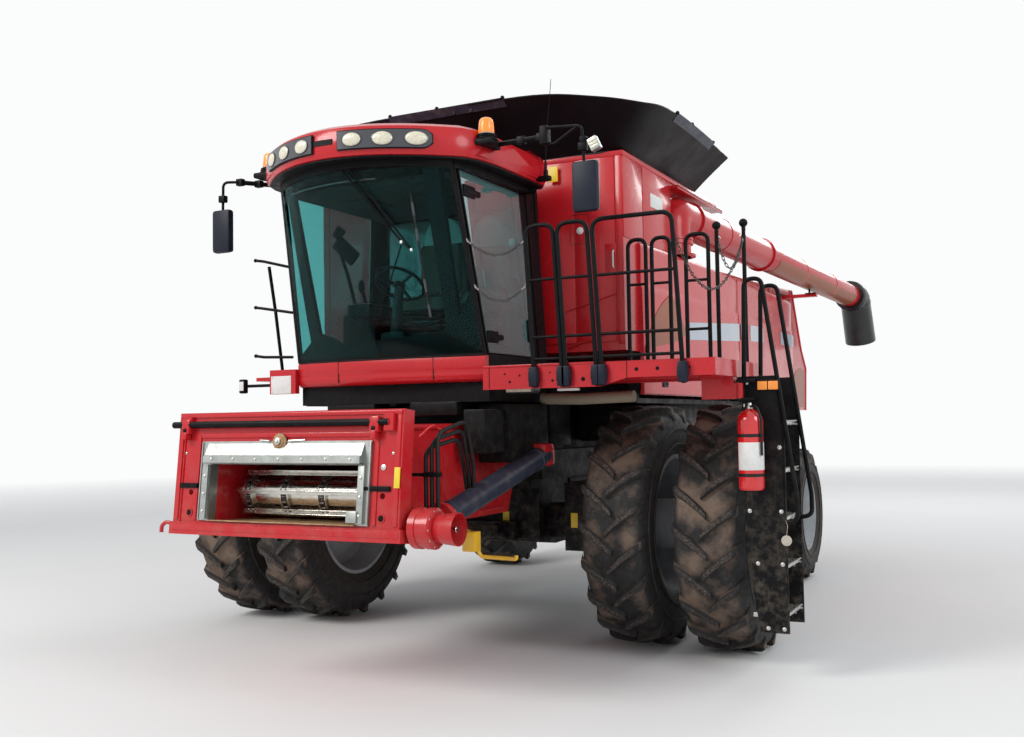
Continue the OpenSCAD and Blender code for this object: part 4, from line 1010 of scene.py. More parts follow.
class HARVESTER_OT_side_doors(PieceOperator, bpy.types.Operator):
    """Pressed side doors with their stripes and latches"""

    bl_idname = "harvester.side_doors"
    bl_label = "Side doors"

    def execute(self, context):
        for word, side in (("left", 1), ("right", -1)):
            for place, y0, y1, low0, low1 in SIDE_DOORS:
                body = "door_" + place + "_" + word
                rows = []
                for i, y in enumerate(steps(y0, y1, 28)):
                    low = low0 + (low1 - low0) * (y - y0) / (y1 - y0)
                    inset = 0.01 if i in (0, 28) else 0.0
                    rows.append(door_section(side, y, low, inset))
                panel = closed_loft(Shapes(), rows).piece(
                    "side_panel_%s_%s" % (place, word), "side red painted lighter", body
                )
                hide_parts("side_door_%s_%s" % (place, word))
                self.stripes(side, place, body, word)
                trim = Shapes()
                for y in (y0 + 0.45, y1 - 0.45):
                    x = side * (door_out_x(y) - 0.004)
                    z = (low0 if place == "front" else low0 + (low1 - low0) * (y - y0) / (y1 - y0)) + 0.1
                    trim.block((x - 0.008, y - 0.07, z - 0.03), (x + 0.008, y + 0.07, z + 0.03), 0.006)
                    trim.bolt((x, y + 0.04, z), (side, 0, 0), 0.01, 0.016)
                trim.piece("side_latches_%s_%s" % (place, word), "plastic", body)
        return {"FINISHED"}

    def stripes(self, side, place, body, word):
        """Flat strips laid on a door: the leaf, the grey bands and the orange-brown sweep."""
        bands = []
        if place == "front":
            leaf = [
                (0.045, 2.36, 2.4), (0.16, 2.4, 2.58), (0.3, 2.43, 2.72), (0.46, 2.45, 2.82),
                (0.62, 2.47, 2.895), (0.74, 2.49, 2.86), (0.86, 2.52, 2.76), (0.98, 2.56, 2.64),
                (1.06, 2.585, 2.6)
            ]
            bands.append(("swoosh_and_painted_reflection", leaf))
            stripes = [(1.12, (2.53, 0.05), (2.69, 0.065), steps(1.12, 2.745, 12))]
        else:
            stripes = [
                (2.8, (2.628, 0.03), (2.8, 0.024), steps(2.815, 3.02, 3)),
                (3.1, (2.636, 0.03), (2.812, 0.024), steps(3.2, 3.78, 5)),
                (4.8, (2.69, 0.025), (2.845, 0.0), steps(4.72, 5.52, 6)),
            ]
        for y0, (low, fall), (high, rise), places in stripes:
            bands.append((
                "grey stripe", [(y, low + fall * (y - y0), high + rise * (y - y0)) for y in places]
            ))
        if place == "rear":
            bands.append((
                "swoosh_and_painted_reflection",
                [
                    (y, 1.935 - 0.02 * (y - 4.5), 1.96 + 0.3 * ((y - 4.5) / 1.02) ** 2)
                    for y in steps(4.5, 5.52, 10)
                ]
            ))
        for k, (finish_name, marks) in enumerate(bands):
            shapes = Shapes()
            rows = []
            for y, low, high in marks:
                x = door_out_x(y)
                zs = steps(low, high, 3)
                rows.append([
                    at(side * (x + lift), y, z) for z, lift in zip(zs + zs[::-1], [0.0025] * 4 + [-0.001] * 4)
                ])
            closed_loft(shapes, rows)
            shapes.piece("side_stripe_%s_%s_%d" % (place, word, k + 1), finish_name, body)


class HARVESTER_OT_body(PieceOperator, bpy.types.Operator):
    """Finishes of the body's large nodes, with the seams, lamps and covers that sit on them"""

    bl_idname = "harvester.body"
    bl_label = "Body"

    def execute(self, context):
        dress(["threshing_body", "chassis", "straw_chopper", "cab_base", "lift_barrels"], "black")
        dress(["front_axle", "rear_axle", "knuckle_left", "knuckle_right", "engine_block"], "casting")
        dress(["rear_hood", "grain_tank", "feeder_house", "header_face", "platform"], "red")
        dress(["feeder_trim"], "galvanised")
        dress(["lift_rods"], "chrome")
        dress(["cab_frame", "cab_door"], "plastic")
        self.tank_panels()
        self.deck()
        self.hood()
        self.underbody()
        return {"FINISHED"}

    def tank_panels(self):
        body = "machine"
        panels = Shapes()
        for side in (1, -1):
            # Corner panel and side panel with the joint between them
            panels.block((side * 1.498, -0.305, 3.29), (side * 1.508, 0.135, 3.975), 0.004)
            rear = 0.88 if side > 0 else 2.29
            panels.block((side * 1.498, 0.147, 3.29), (side * 1.508, rear, 3.975), 0.004)
            panels.block((side * 1.44, -0.309, 2.42), (side * 1.5, -0.297, 3.97), 0.005)
        # Front sheets with their upright joints
        for x0, x1 in ((-1.43, -0.49), (-0.48, 0.48), (0.49, 1.07), (1.08, 1.43)):
            panels.block((x0, -0.309, 2.44), (x1, -0.299, 3.965), 0.004)
        # Rim rolled over the top of the walls
        for low, high in (
            ((-1.512, -0.315, 3.955), (1.512, -0.285, 3.998)), ((-1.512, 2.27, 3.955), (1.512, 2.31, 3.998)),
            ((-1.514, -0.31, 3.955), (-1.48, 2.3, 3.998)), ((1.48, -0.31, 3.955), (1.514, 2.3, 3.998))
        ):
            panels.block(low, high, 0.008)
        # Ledge over the turret
        panels.block((1.36, 0.86, 3.905), (1.585, 2.28, 3.925), 0.006)
        panels.block((1.565, 0.86, 3.892), (1.585, 2.28, 3.925), 0.006)
        made = panels.piece("tank_sheets", "red", body)
        plates = Shapes()
        plates.block((0.862, -0.35, 3.795), (0.945, -0.341, 3.925), 0.002)
        plates.block((0.88, -0.342, 3.81), (0.925, -0.3, 3.91), 0.0)
        plates.piece("blank_plate_yellow_tank", "yellow label", body)
        plates = Shapes()
        plates.block((1.506, 0.33, 3.64), (1.512, 0.64, 3.76), 0.002)
        plates.piece("blank_plate_white_tank", "label", body)
        hatch = Shapes()
        ring = rounded(
            [(1.1, 3.26), (1.205, 3.26), (1.205, 3.505), (1.035, 3.505), (1.035, 3.26), (1.1, 3.26)], 0.02, 4
        )[:-1]
        joint = Shapes().tube([(p.x, -0.308, p.y) for p in ring], 0.003, 6, ring=True)
        joint.piece("tank_hatch_joint", "lining", body)
        hatch.block((1.34, -0.312, 3.0), (1.44, -0.306, 3.24), 0.003)
        # Two creases pressed across the sheet behind the hoops
        for drop in (0.0, -0.3):
            verts = []
            for x, z in ((0.98, 2.76), (1.43, 2.88)):
                verts += [
                    at(x, y, z + low + drop)
                    for y, low in ((-0.309, -0.06), (-0.322, -0.06), (-0.309, -0.048))
                ]
            hatch.add(verts, [(0, 1, 4, 3), (1, 2, 5, 4), (0, 2, 1), (3, 4, 5), (0, 3, 5, 2)])
        made = hatch.piece("tank_hatch", "red", body)
        knob = Shapes()
        knob.turned(
            (1.122, -0.309, 3.37), (0, -1, 0),
            [(0, 0.03), (0.006, 0.03), (0.008, 0.02), (0.02, 0.02), (0.024, 0.0)], 20
        )
        knob.tube(
            [(1.417, -0.312, 3.04), (1.417, -0.33, 3.05), (1.417, -0.33, 3.17), (1.417, -0.312, 3.18)], 0.007,
            8, bend=0.008
        )
        knob.piece("tank_hatch_knob", "label", body)
        # The turret that carries the swinging auger
        turret = Shapes()
        turret.turned(
            (1.44, 1.1, 3.3), (0, 0, 1),
            [
                (0.0, 0.215), (0.02, 0.215), (0.024, 0.1715), (0.11, 0.1715), (0.112, 0.192), (0.146, 0.192),
                (0.148, 0.165)
            ],
            40
        )
        made = turret.piece("auger_turret", "red", body)
        ring = Shapes()
        for k in range(14):
            a = 2 * math.pi * (k + 0.5) / 14
            ring.bolt((1.44 + math.cos(a) * 0.2, 1.1 + math.sin(a) * 0.2, 3.32), (0, 0, 1), 0.01, 0.012)
        ring.piece("auger_turret_bolts", "bolt", body)

    def deck(self):
        """Shoulder over the side doors, engine cover and cooling screen on the deck."""
        body = "machine"
        cover = Shapes()
        rows = []
        for x, rise in (
            (-1.18, 0.0), (-1.15, 0.07), (-1.02, 0.115), (-0.6, 0.135), (0.0, 0.142), (0.6, 0.135),
            (1.02, 0.115), (1.15, 0.07), (1.18, 0.0)
        ):
            rows.append([
                at(x, y, 3.312 + 0.04 * (y - 2.3) + rise * fade)
                for y, fade in (
                    (2.75, 0.0), (2.78, 0.7), (2.86, 1.0), (3.9, 1.0), (4.98, 1.0), (5.06, 0.7), (5.09, 0.0)
                )
            ])
        cover.sheet(rows)
        made = cover.piece("engine_cover", "red", body)
        slats = Shapes()
        for y in steps(3.1, 4.7, 20):
            z = 3.312 + 0.04 * (y - 2.3) + 0.146
            slats.block((-0.5, y - 0.022, z - 0.008), (0.5, y + 0.022, z + 0.01), 0.006)
        slats.piece("engine_cover_slats", "plastic", body)
        shoulder = Shapes()
        for side in (1, -1):
            rows = []
            for y in steps(2.31, 5.6, 22):
                z = 3.31 + 0.04 * (y - 2.3)
                marks = [
                    (1.44, z + 0.001), (1.455, z + 0.012), (1.49, z + 0.01), (1.504, z - 0.006),
                    (1.506, z - 0.03), (1.503, 3.3), (1.5, 3.29), (1.47, 3.29)
                ]
                rows.append([at(side * x, y, h) for x, h in marks])
            closed_loft(shoulder, rows)
        made = shoulder.piece("deck_shoulders", "red", body)
        seams = Shapes()
        for side in (1, -1):
            for y in (3.35, 4.45):
                z = 3.31 + 0.04 * (y - 2.3)
                seams.block((side * 1.5005, y - 0.004, 3.292), (side * 1.5085, y + 0.004, z - 0.01), 0.0)
            for k in range(6):
                y = 4.98 + k * 0.085
                z = 3.31 + 0.04 * (y - 2.3)
                seams.block((side * 1.502, y, z - 0.1), (side * 1.509, y + 0.045, z - 0.066), 0.003)
        seams.piece("shoulder_seams", "plastic", body)
        pipe = Shapes()
        pipe.tube([(-0.78, 3.3, 3.4), (-0.78, 3.3, 3.72), (-0.78, 3.62, 3.86)], 0.06, 20, bend=0.1)
        pipe.piece("exhaust_pipe", "chain steel", body)

    def hood(self):
        body = "machine"
        lamps = Shapes()
        frames = Shapes()
        for side in (1, -1):
            x = side * 1.28
            frames.block((x - 0.1, 6.412, 2.04), (x + 0.1, 6.44, 2.38), 0.014)
            lamps.block((x - 0.075, 6.425, 2.06), (x + 0.075, 6.452, 2.16), 0.012)
            lamps.block((x - 0.075, 6.425, 2.26), (x + 0.075, 6.452, 2.36), 0.012)
        frames.piece("tail_lamp_frames", "plastic", body)
        lamps.piece("tail_lamps", "tail lens", body)
        slats = Shapes()
        for k in range(9):
            # Louvres down the sloping back
            t = 0.14 + k * 0.085
            y, z = 5.7 + 0.48 * t, 3.45 - 0.76 * t
            slats.block((-1.05, y + 0.004, z - 0.012), (1.05, y + 0.03, z + 0.012), 0.006)
        slats.piece("hood_louvres", "plastic", body)
        edge = Shapes()
        for side in (1, -1):
            edge.tube(
                [
                    (side * 1.5, y, z)
                    for y, z in (
                        (5.56, 1.9), (5.56, 3.44), (5.7, 3.45), (6.18, 2.69), (6.43, 2.46), (6.35, 1.89)
                    )
                ],
                0.014, 10, bend=0.04
            )
        made = edge.piece("hood_edges", "red", body)
        orange = Shapes()
        for side in (1, -1):
            outline = [(5.66, 1.93), (5.66, 2.3), (5.86, 2.42), (6.12, 2.46), (6.36, 2.4), (6.3, 1.93)]
            orange.prism(outline, 0, side * 1.499, side * 1.5045)
        orange.piece("hood_stripes", "swoosh_and_painted_reflection", body)
        arm = Shapes()
        arm.block((1.8, 5.1, 3.334), (1.93, 5.26, 3.342), 0.0)
        arm.tube([(1.84, 5.18, 3.33), (1.84, 5.18, 3.4)], 0.012, 10)
        arm.piece("auger_rest_pad", "plastic", body)

    def underbody(self):
        """Frames, covers, hoses and guards seen under the cab and between the wheels."""
        body = "machine"
        black = Shapes()
        for side in (1, -1):
            black.block((side * 0.705, -0.4, 1.6), (side * 0.86, 0.02, 2.05), 0.02)
            black.block((side * 0.62, -1.42, 1.955), (side * 0.84, -0.46, 1.985), 0.01)
            black.block((side * 0.702, 0.3, 0.86), (side * 0.716, 2.6, 1.3), 0.004)
            black.block((side * 0.702, 2.72, 0.94), (side * 0.716, 4.55, 1.3), 0.004)
            for y in (0.9, 1.5, 2.1):
                black.block((side * 0.714, y, 0.88), (side * 0.726, y + 0.05, 1.28), 0.004)
            black.block((side * 0.72, 0.45, 1.62), (side * 1.28, 1.25, 1.93), 0.04)
            black.block((side * 0.72, 1.45, 1.58), (side * 1.2, 2.55, 2.02), 0.05)
        # Mounts and valve covers under the cab
        black.block((0.2, -1.5, 1.86), (0.62, -1.12, 1.965), 0.02)
        black.block((-0.62, -1.44, 1.86), (-0.16, -1.06, 1.965), 0.02)
        black.block((0.68, -1.3, 1.5), (0.95, -0.62, 1.94), 0.02)
        black.block((0.74, -1.62, 1.58), (0.92, -1.3, 1.9), 0.015)
        for x in (-0.55, 0.0, 0.55):
            black.block((x - 0.03, -1.42, 1.94), (x + 0.03, -0.46, 1.965), 0.006)
        black.piece("underbody_covers", "black", body)
        bolts = Shapes()
        for side in (1, -1):
            for y in steps(0.36, 2.54, 8):
                for z in (0.9, 1.26):
                    bolts.bolt((side * 0.716, y, z), (side, 0, 0), 0.01, 0.008)
        bolts.piece("underbody_bolts", "dark bolt", body)
        lamp = Shapes()
        lamp.block((1.0, -1.46, 2.012), (1.23, -1.33, 2.07), 0.02)
        lamp.piece("step_lamp_housing", "lamp panel", body)
        lens = Shapes()
        lens.block((1.015, -1.468, 2.02), (1.215, -1.455, 2.062), 0.01)
        lens.piece("step_lamp_lens", "lens", body)
        wire = Shapes()
        wire.tube([(0.7, -1.4, 2.05), (0.92, -1.44, 2.066), (1.02, -1.42, 2.058)], 0.006, 8, bend=0.06)
        wire.piece("step_lamp_lead", "hose", body)
        tan = Shapes()
        tan.tube([(0.9, -0.62, 1.985), (1.25, -0.64, 1.975), (1.7, -0.66, 1.985)], 0.045, 18, bend=0.2)
        tan.piece("air_duct", "tan", body)
        amber = Shapes()
        for y in (3.02, 3.36):
            amber.block((1.594, y - 0.07, 2.29), (1.612, y + 0.07, 2.345), 0.008)
        amber.piece("side_marker_lamps", "amber", "door_rear_left")
        yellow = Shapes()
        yellow.tube(
            [(0.98, -1.93, 1.0), (1.03, -1.9, 0.885), (1.3, -1.9, 0.88), (1.3, -1.9, 0.905)], 0.014, 10,
            bend=0.03
        )
        yellow.block((0.93, -1.99, 0.925), (1.03, -1.9, 1.06), 0.008)
        yellow.tube([(0.98, -1.92, 1.04), (0.82, -1.92, 1.1), (0.64, -1.92, 1.16)], 0.014, 8, bend=0.05)
        yellow.piece("lift_lock_bar", "yellow", "feeder")
        plates = Shapes()
        plates.block((0.357, -0.304, 0.925), (0.417, -0.298, 1.045), 0.001)
        plates.block((0.957, -0.234, 0.921), (1.017, -0.228, 1.041), 0.001)
        plates.piece("blank_plates_yellow_underbody", "yellow label", body)


class HARVESTER_OT_tank_extension(PieceOperator, bpy.types.Operator):
    """Dark flared sheets round the tank's rim, with their ribs, latches and seal"""

    bl_idname = "harvester.tank_extension"
    bl_label = "Tank extension"

    def execute(self, context):
        low = [
            (-1.5, 1.6), (-1.5, 0.6), (-1.5, 0.0), (-1.46, -0.22), (-1.38, -0.3), (-1.0, -0.3), (0.0, -0.3),
            (1.0, -0.3), (1.38, -0.3), (1.46, -0.22), (1.5, 0.0), (1.5, 0.6), (1.5, 1.6)
        ]
        high = [(-1.85, 1.6, 4.29), (-1.86, 0.6, 4.32), (-1.85, -0.15, 4.32), (-1.74, -0.5, 4.3),
                (-1.44, -0.65, 4.35), (-0.9, -0.7, 4.43), (0.0, -0.71, 4.44),
                (0.9, -0.7, 4.43), (1.44, -0.65, 4.35), (1.74, -0.5, 4.3),
                (1.85, -0.15, 4.32), (1.86, 0.6, 4.32), (1.85, 1.6, 4.29)]
        foot = 3.99
        lows = smooth_curve([(x, y, foot) for x, y in low], 6)
        highs = smooth_curve(high, 6)
        sheet = Shapes()
        rows = []
        for i, (p, q) in enumerate(zip(lows, highs)):
            inward = Vector((-p.x, 1.0 - p.y, 0.0)).normalized()
            row = []
            for t in steps(0.0, 1.0, 6):
                m = p.lerp(q, t)
                belly = 0.02 * math.sin(math.pi * t)
                row.append(at(m.x + inward.x * belly, m.y + inward.y * belly, m.z - belly * 0.6))
            # Rolled top edge, then back down the inner face
            row.append(at(q.x + inward.x * 0.004, q.y + inward.y * 0.004, q.z + 0.01))
            row.append(at(q.x + inward.x * 0.016, q.y + inward.y * 0.016, q.z + 0.012))
            for t in steps(1.0, 0.0, 6):
                m = p.lerp(q, t)
                belly = 0.02 * math.sin(math.pi * t) + 0.012
                row.append(at(m.x + inward.x * belly, m.y + inward.y * belly, m.z - belly * 0.6 + 0.004))
            rows.append(row)
        closed_loft(sheet, rows)
        made = sheet.piece("tank_extension_sheets", "sheet", "machine")
        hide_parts("tank_extension")
        ribs, knobs = Shapes(), Shapes()
        # Folded rails along the top edge, with their latch knobs
        for i0, i1 in ((3, 10), (33, 40), (62, 69)):
            rows = []
            for p, q in zip(lows[i0:i1 + 1], highs[i0:i1 + 1]):
                out = Vector((p.x, p.y - 1.0, 0.0)).normalized()
                fall = (p - q).normalized()
                rows.append([
                    at(*(q + fall * s + out * d + Vector((0, 0, 0.012))))
                    for s, d in ((0.0, 0.002), (0.0, 0.016), (0.085, 0.02), (0.085, 0.004))
                ])
            closed_loft(ribs, rows)
            for i in (i0, (i0 + i1) // 2, i1):
                knobs.ball(highs[i] + Vector((0, 0, 0.018)), 0.017)
        for x in (0.18, 0.34):
            knobs.block((x - 0.012, -0.735, 4.375), (x + 0.012, -0.722, 4.402), 0.0)
        knobs.block((0.3, -0.73, 4.438), (0.62, -0.7, 4.452), 0.004)
        ribs.piece("tank_extension_rails", "drive tube", "machine")
        knobs.piece("tank_extension_latches", "black", "machine")
        strip = Shapes()
        path = [tuple(p + Vector((0, 0, 0.006))) for p in lows]
        strip.tube(path, 0.013, 8)
        strip.piece("tank_extension_seal", "hose", "machine")
        return {"FINISHED"}


# Cab


def between(a, b, t):
    return a + (b - a) * t


# The cab at its foot and at its head
CAB_Z = (2.3, 3.69)
CAB_HALF_WIDTH = (0.86, 0.78)
SHIELD_CORNER_Y = (-1.49, -1.8)
SHIELD_MIDDLE_Y = (-1.55, -2.08)
CAB_REAR_Y = -0.43
ROOF_HALF_WIDTH = 0.9
ROOF_NOSE_Y = -2.29
ROOF_BOW = 0.46


def shield(s, t, out=0.0):
    """A place on the windshield: s runs across from -1 to 1, and t from its foot at 0 to its head at 1."""
    corner, middle = between(*SHIELD_CORNER_Y, t), between(*SHIELD_MIDDLE_Y, t)
    y = middle + (corner - middle) * s * s - out
    return at(s * between(*CAB_HALF_WIDTH, t), y, between(*CAB_Z, t))


def cab_side(side):
    """Places on a side of the cab: u runs from the front at 0 to the rear at 1."""
    def place(u, t, out=0.0):
        front = between(*SHIELD_CORNER_Y, t)
        x = side * (between(*CAB_HALF_WIDTH, t) + out)
        return at(x, between(front, CAB_REAR_Y, u), between(*CAB_Z, t))
    return place


def on_roof(s, z, out=0.0):
    """A place on the round front of the roof."""
    away = Vector((2 * ROOF_BOW * s / ROOF_HALF_WIDTH, -1.0, 0.0)).normalized() * out
    return at(ROOF_HALF_WIDTH * s + away.x, ROOF_NOSE_Y + ROOF_BOW * s * s + away.y, z)


def strip(shapes, place, marks, low, high):
    """A strip laid on a curved face. Each mark is a place along it and its two edges."""
    return closed_loft(shapes, [
        [place(a, b0, low), place(a, b0, high), place(a, b1, high), place(a, b1, low)] for a, b0, b1 in marks
    ])


def upright_strip(shapes, place, marks, low, high):
    """The same, along the face's other direction."""
    return strip(shapes, lambda b, a, out: place(a, b, out), marks, low, high)


def moved_in(outline, amount):
    """A plan outline moved inwards, corner by corner."""
    made = []
    for i, p in enumerate(outline):
        along = (Vector(outline[(i + 1) % len(outline)]) - Vector(outline[i - 1])).normalized()
        made.append((p[0] - along.y * amount, p[1] + along.x * amount))
    return made


class HARVESTER_OT_cab_roof(PieceOperator, bpy.types.Operator):
    """Red roof with its visor, lamp panels, beacons, mirrors and aerial"""

    bl_idname = "harvester.cab_roof"
    bl_label = "Cab roof"

    def execute(self, context):
        body = "machine"
        side = [(0.955, -1.7), (0.985, -1.5), (0.99, -1.0), (0.985, -0.66), (0.93, -0.58)]
        outline = [(ROOF_HALF_WIDTH * s, ROOF_NOSE_Y + ROOF_BOW * s * s) for s in steps(-1.0, 1.0, 32)]
        outline += side + [(-x, y) for x, y in side[::-1]]
        rings = []
        for inset, z in (
            (0.06, 3.692), (0.015, 3.7), (0.002, 3.73), (0.0, 3.8), (0.004, 3.86), (0.022, 3.905),
            (0.08, 3.936), (0.25, 3.952)
        ):
            rings.append([at(x, y, z) for x, y in moved_in(outline, inset)])
        roof = closed_loft(Shapes(), rings).piece("roof_shell", "red", body)
        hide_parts("cab_roof")
        lining = Shapes()
        for inset, z0, z1 in ((0.03, 3.684, 3.696), (0.13, 3.64, 3.688)):
            closed_loft(lining, [[at(x, y, z) for x, y in moved_in(outline, inset)] for z in (z0, z1)])
        lining.piece("roof_underside", "plastic", body)
        crease = Shapes()
        for side in (1, -1):
            outer = [
                (0.966, -1.735, 3.716), (1.004, -1.25, 3.862), (1.01, -0.98, 3.778), (0.998, -0.68, 3.722),
                (0.996, -0.66, 3.868), (0.96, -1.6, 3.85)
            ]
            verts = [at(side * x, y, z) for x, y, z in outer] + [
                at(side * (x - 0.05), y, z) for x, y, z in outer
            ]
            crease.add(
                verts,
                [
                    (0, 2, 1), (0, 3, 2), (2, 3, 4), (1, 2, 4), (0, 1, 5), (1, 4, 10, 7), (5, 1, 7, 11),
                    (0, 5, 11, 6), (0, 6, 9, 3), (3, 9, 10, 4)
                ]
            )
        made = crease.piece("roof_side_creases", "red", body, smooth=False)
        self.lamps(body)
        self.beacons(body)
        self.mirrors(body)
        return {"FINISHED"}

    def lamps(self, body):
        panels, rims, bowls, lenses = Shapes(), Shapes(), Shapes(), Shapes()
        for side in (1, -1):
            for shapes, grow, low, high in ((rims, 0.007, -0.004, 0.013), (panels, 0.0, 0.008, 0.019)):
                marks = []
                start = 0.15 if side > 0 else 0.095
                for s in steps(start, 0.81, 36):
                    # Half a round end at the outside, a square one at the middle
                    t = max(0.0, (s - 0.745) / 0.072)
                    half = 0.063 * math.sqrt(max(0.04, 1.0 - t * t)) + grow
                    marks.append((
                        side * (s + (grow if s > 0.8 else -grow if s < start + 0.005 else 0.0)), 3.804 - half,
                        3.804 + half
                    ))
                strip(shapes, on_roof, marks, low, high)
            for s in (0.265, 0.49, 0.712) if side > 0 else (0.205, 0.44, 0.67):
                for shapes, wide, tall, rows in (
                    (bowls, 0.073, 0.053, ((1.0, 0.014), (1.0, 0.024), (0.93, 0.026), (0.93, 0.016))),
                    (
                        lenses, 0.068, 0.049,
                        (
                            (1.0, 0.016), (0.99, 0.023), (0.9, 0.028), (0.65, 0.033), (0.35, 0.036),
                            (0.04, 0.037)
                        )
                    ),
                ):
                    rings = []
                    for share, out in rows:
                        turns = [2 * math.pi * k / 28 for k in range(28)]
                        rings.append([
                            on_roof(
                                side * s + wide * share * math.cos(a) / 0.95,
                                3.804 + tall * share * math.sin(a), out
                            )
                            for a in turns
                        ])
                    closed_loft(shapes, rings)
        made = panels.piece("roof_lamp_panels", "lamp panel", body)
        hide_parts("roof_lamps")
        rims.piece("roof_lamp_rims", "plastic", body)
        bowls.piece("roof_lamp_bezels", "lamp panel", body)
        lenses.piece("roof_lamp_lenses", "lens", body)
        badge = Shapes()
        strip(badge, on_roof, [(s, 3.788, 3.826) for s in steps(-0.085, 0.095, 8)], -0.002, 0.006)
        badge.piece("roof_blank_plate", "plastic", body)

    def beacons(self, body):
        bases, domes, collars = Shapes(), Shapes(), Shapes()
        for side in (1, -1):
            x = side * 0.993
            bases.block((x - 0.115, -1.745, 3.792), (x + 0.07, -1.595, 3.838), 0.018)
            bases.turned((x, -1.667, 3.83), (0, 0, 1), [
                (0.0, 0.08), (0.01, 0.082), (0.015, 0.072), (0.02, 0.072), (0.024, 0.079), (0.03, 0.072),
                (0.035, 0.072), (0.038, 0.076), (0.044, 0.068), (0.048, 0.056)], 36)
            collars.turned((x, -1.667, 3.874), (0, 0, 1), [(0, 0.055), (0.01, 0.056), (0.012, 0.0)], 32)
            domes.turned((x, -1.667, 3.884), (0, 0, 1), [
                (0, 0.058), (0.004, 0.06), (0.075, 0.054), (0.095, 0.049), (0.108, 0.038), (0.114, 0.022),
                (0.116, 0.0)], 36)
        made = domes.piece("beacon_domes", "amber", body)
        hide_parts("beacons")
        bases.piece("beacon_bases", "plastic", body)
        collars.piece("beacon_collars", "lens", body)

    def mirrors(self, body):
        arms, shells, glass = Shapes(), Shapes(), Shapes()
        for path, low, high in (
            (
                [
                    (1.0, -1.56, 3.822), (1.498, -1.75, 3.772), (1.519, -1.75, 3.832), (1.775, -1.75, 3.81),
                    (1.79, -1.75, 3.545)
                ],
                (1.705, -1.79, 3.215), (1.895, -1.72, 3.565)
            ),
            (
                [(-1.01, -1.46, 3.77), (-1.24, -1.78, 3.77), (-1.34, -1.83, 3.77), (-1.34, -1.835, 3.52)],
                (-1.43, -1.87, 3.195), (-1.25, -1.8, 3.545)
            ),
        ):
            arms.tube(path[1:], 0.011, 12, bend=0.045)
            arms.tube(path[:2], 0.019, 14)
            x, y, z = path[0]
            arms.block((x - 0.034, y - 0.04, z - 0.034), (x + 0.034, y + 0.04, z + 0.034), 0.01)
            for a, b, t in ((path[0], path[1], 0.55), (path[0], path[1], 0.93), (path[-2], path[-1], 0.55)):
                p = Vector(a).lerp(Vector(b), t)
                arms.block(p - Vector((0.03, 0.024, 0.028)), p + Vector((0.03, 0.024, 0.028)), 0.007)
            shells.block(low, high, 0.034)
            glass.block(
                (low[0] + 0.014, high[1] - 0.004, low[2] + 0.014),
                (high[0] - 0.014, high[1] + 0.002, high[2] - 0.014), 0.003
            )
        arms.tube([(1.505, -1.75, 3.725), (1.565, -1.75, 3.712), (1.738, -1.75, 3.808)], 0.009, 10, bend=0.03)
        for low, high in (
            ((1.47, -1.785, 3.715), (1.528, -1.715, 3.845)), ((1.765, -1.775, 3.69), (1.812, -1.725, 3.735)),
            ((1.805, -1.755, 3.705), (1.85, -1.735, 3.722))
        ):
            arms.block(low, high, 0.01)
        lamp = Shapes(lambda a, b, c: at(1.868 + a * 0.8 - c * 0.35, -1.75 + b, 3.672 + c * 0.8 + a * 0.35))
        lamp.block((-0.04, -0.026, -0.052), (0.04, 0.026, 0.052), 0.008)
        lamp.piece("mirror_work_lamp_shell", "galvanised", body)
        face = Shapes(lamp.place)
        for z in (-0.026, 0.0, 0.026):
            face.block((-0.033, -0.031, z - 0.01), (0.033, -0.02, z + 0.01), 0.003)
        face.piece("mirror_work_lamp_lens", "lens", body)
        arms.block((0.98, -0.83, 3.7), (1.09, -0.77, 3.738), 0.008)
        arms.turned(
            (1.05, -0.8, 3.72), (0, 0, 1),
            [(0, 0.018), (0.06, 0.018), (0.07, 0.011), (0.135, 0.009), (0.144, 0.005)], 16
        )
        arms.tube(
            [(1.05, -0.8, 3.85), (1.072, -0.806, 4.12), (1.12, -0.82, 4.498)], [0.0045, 0.0035, 0.0025], 8
        )
        made = arms.piece("mirror_arms_and_aerial", "rail", body)
        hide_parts("mirrors")
        shells.piece("mirror_shells", "mirror shell", body)
        glass.piece("mirror_faces", "mirror", body)


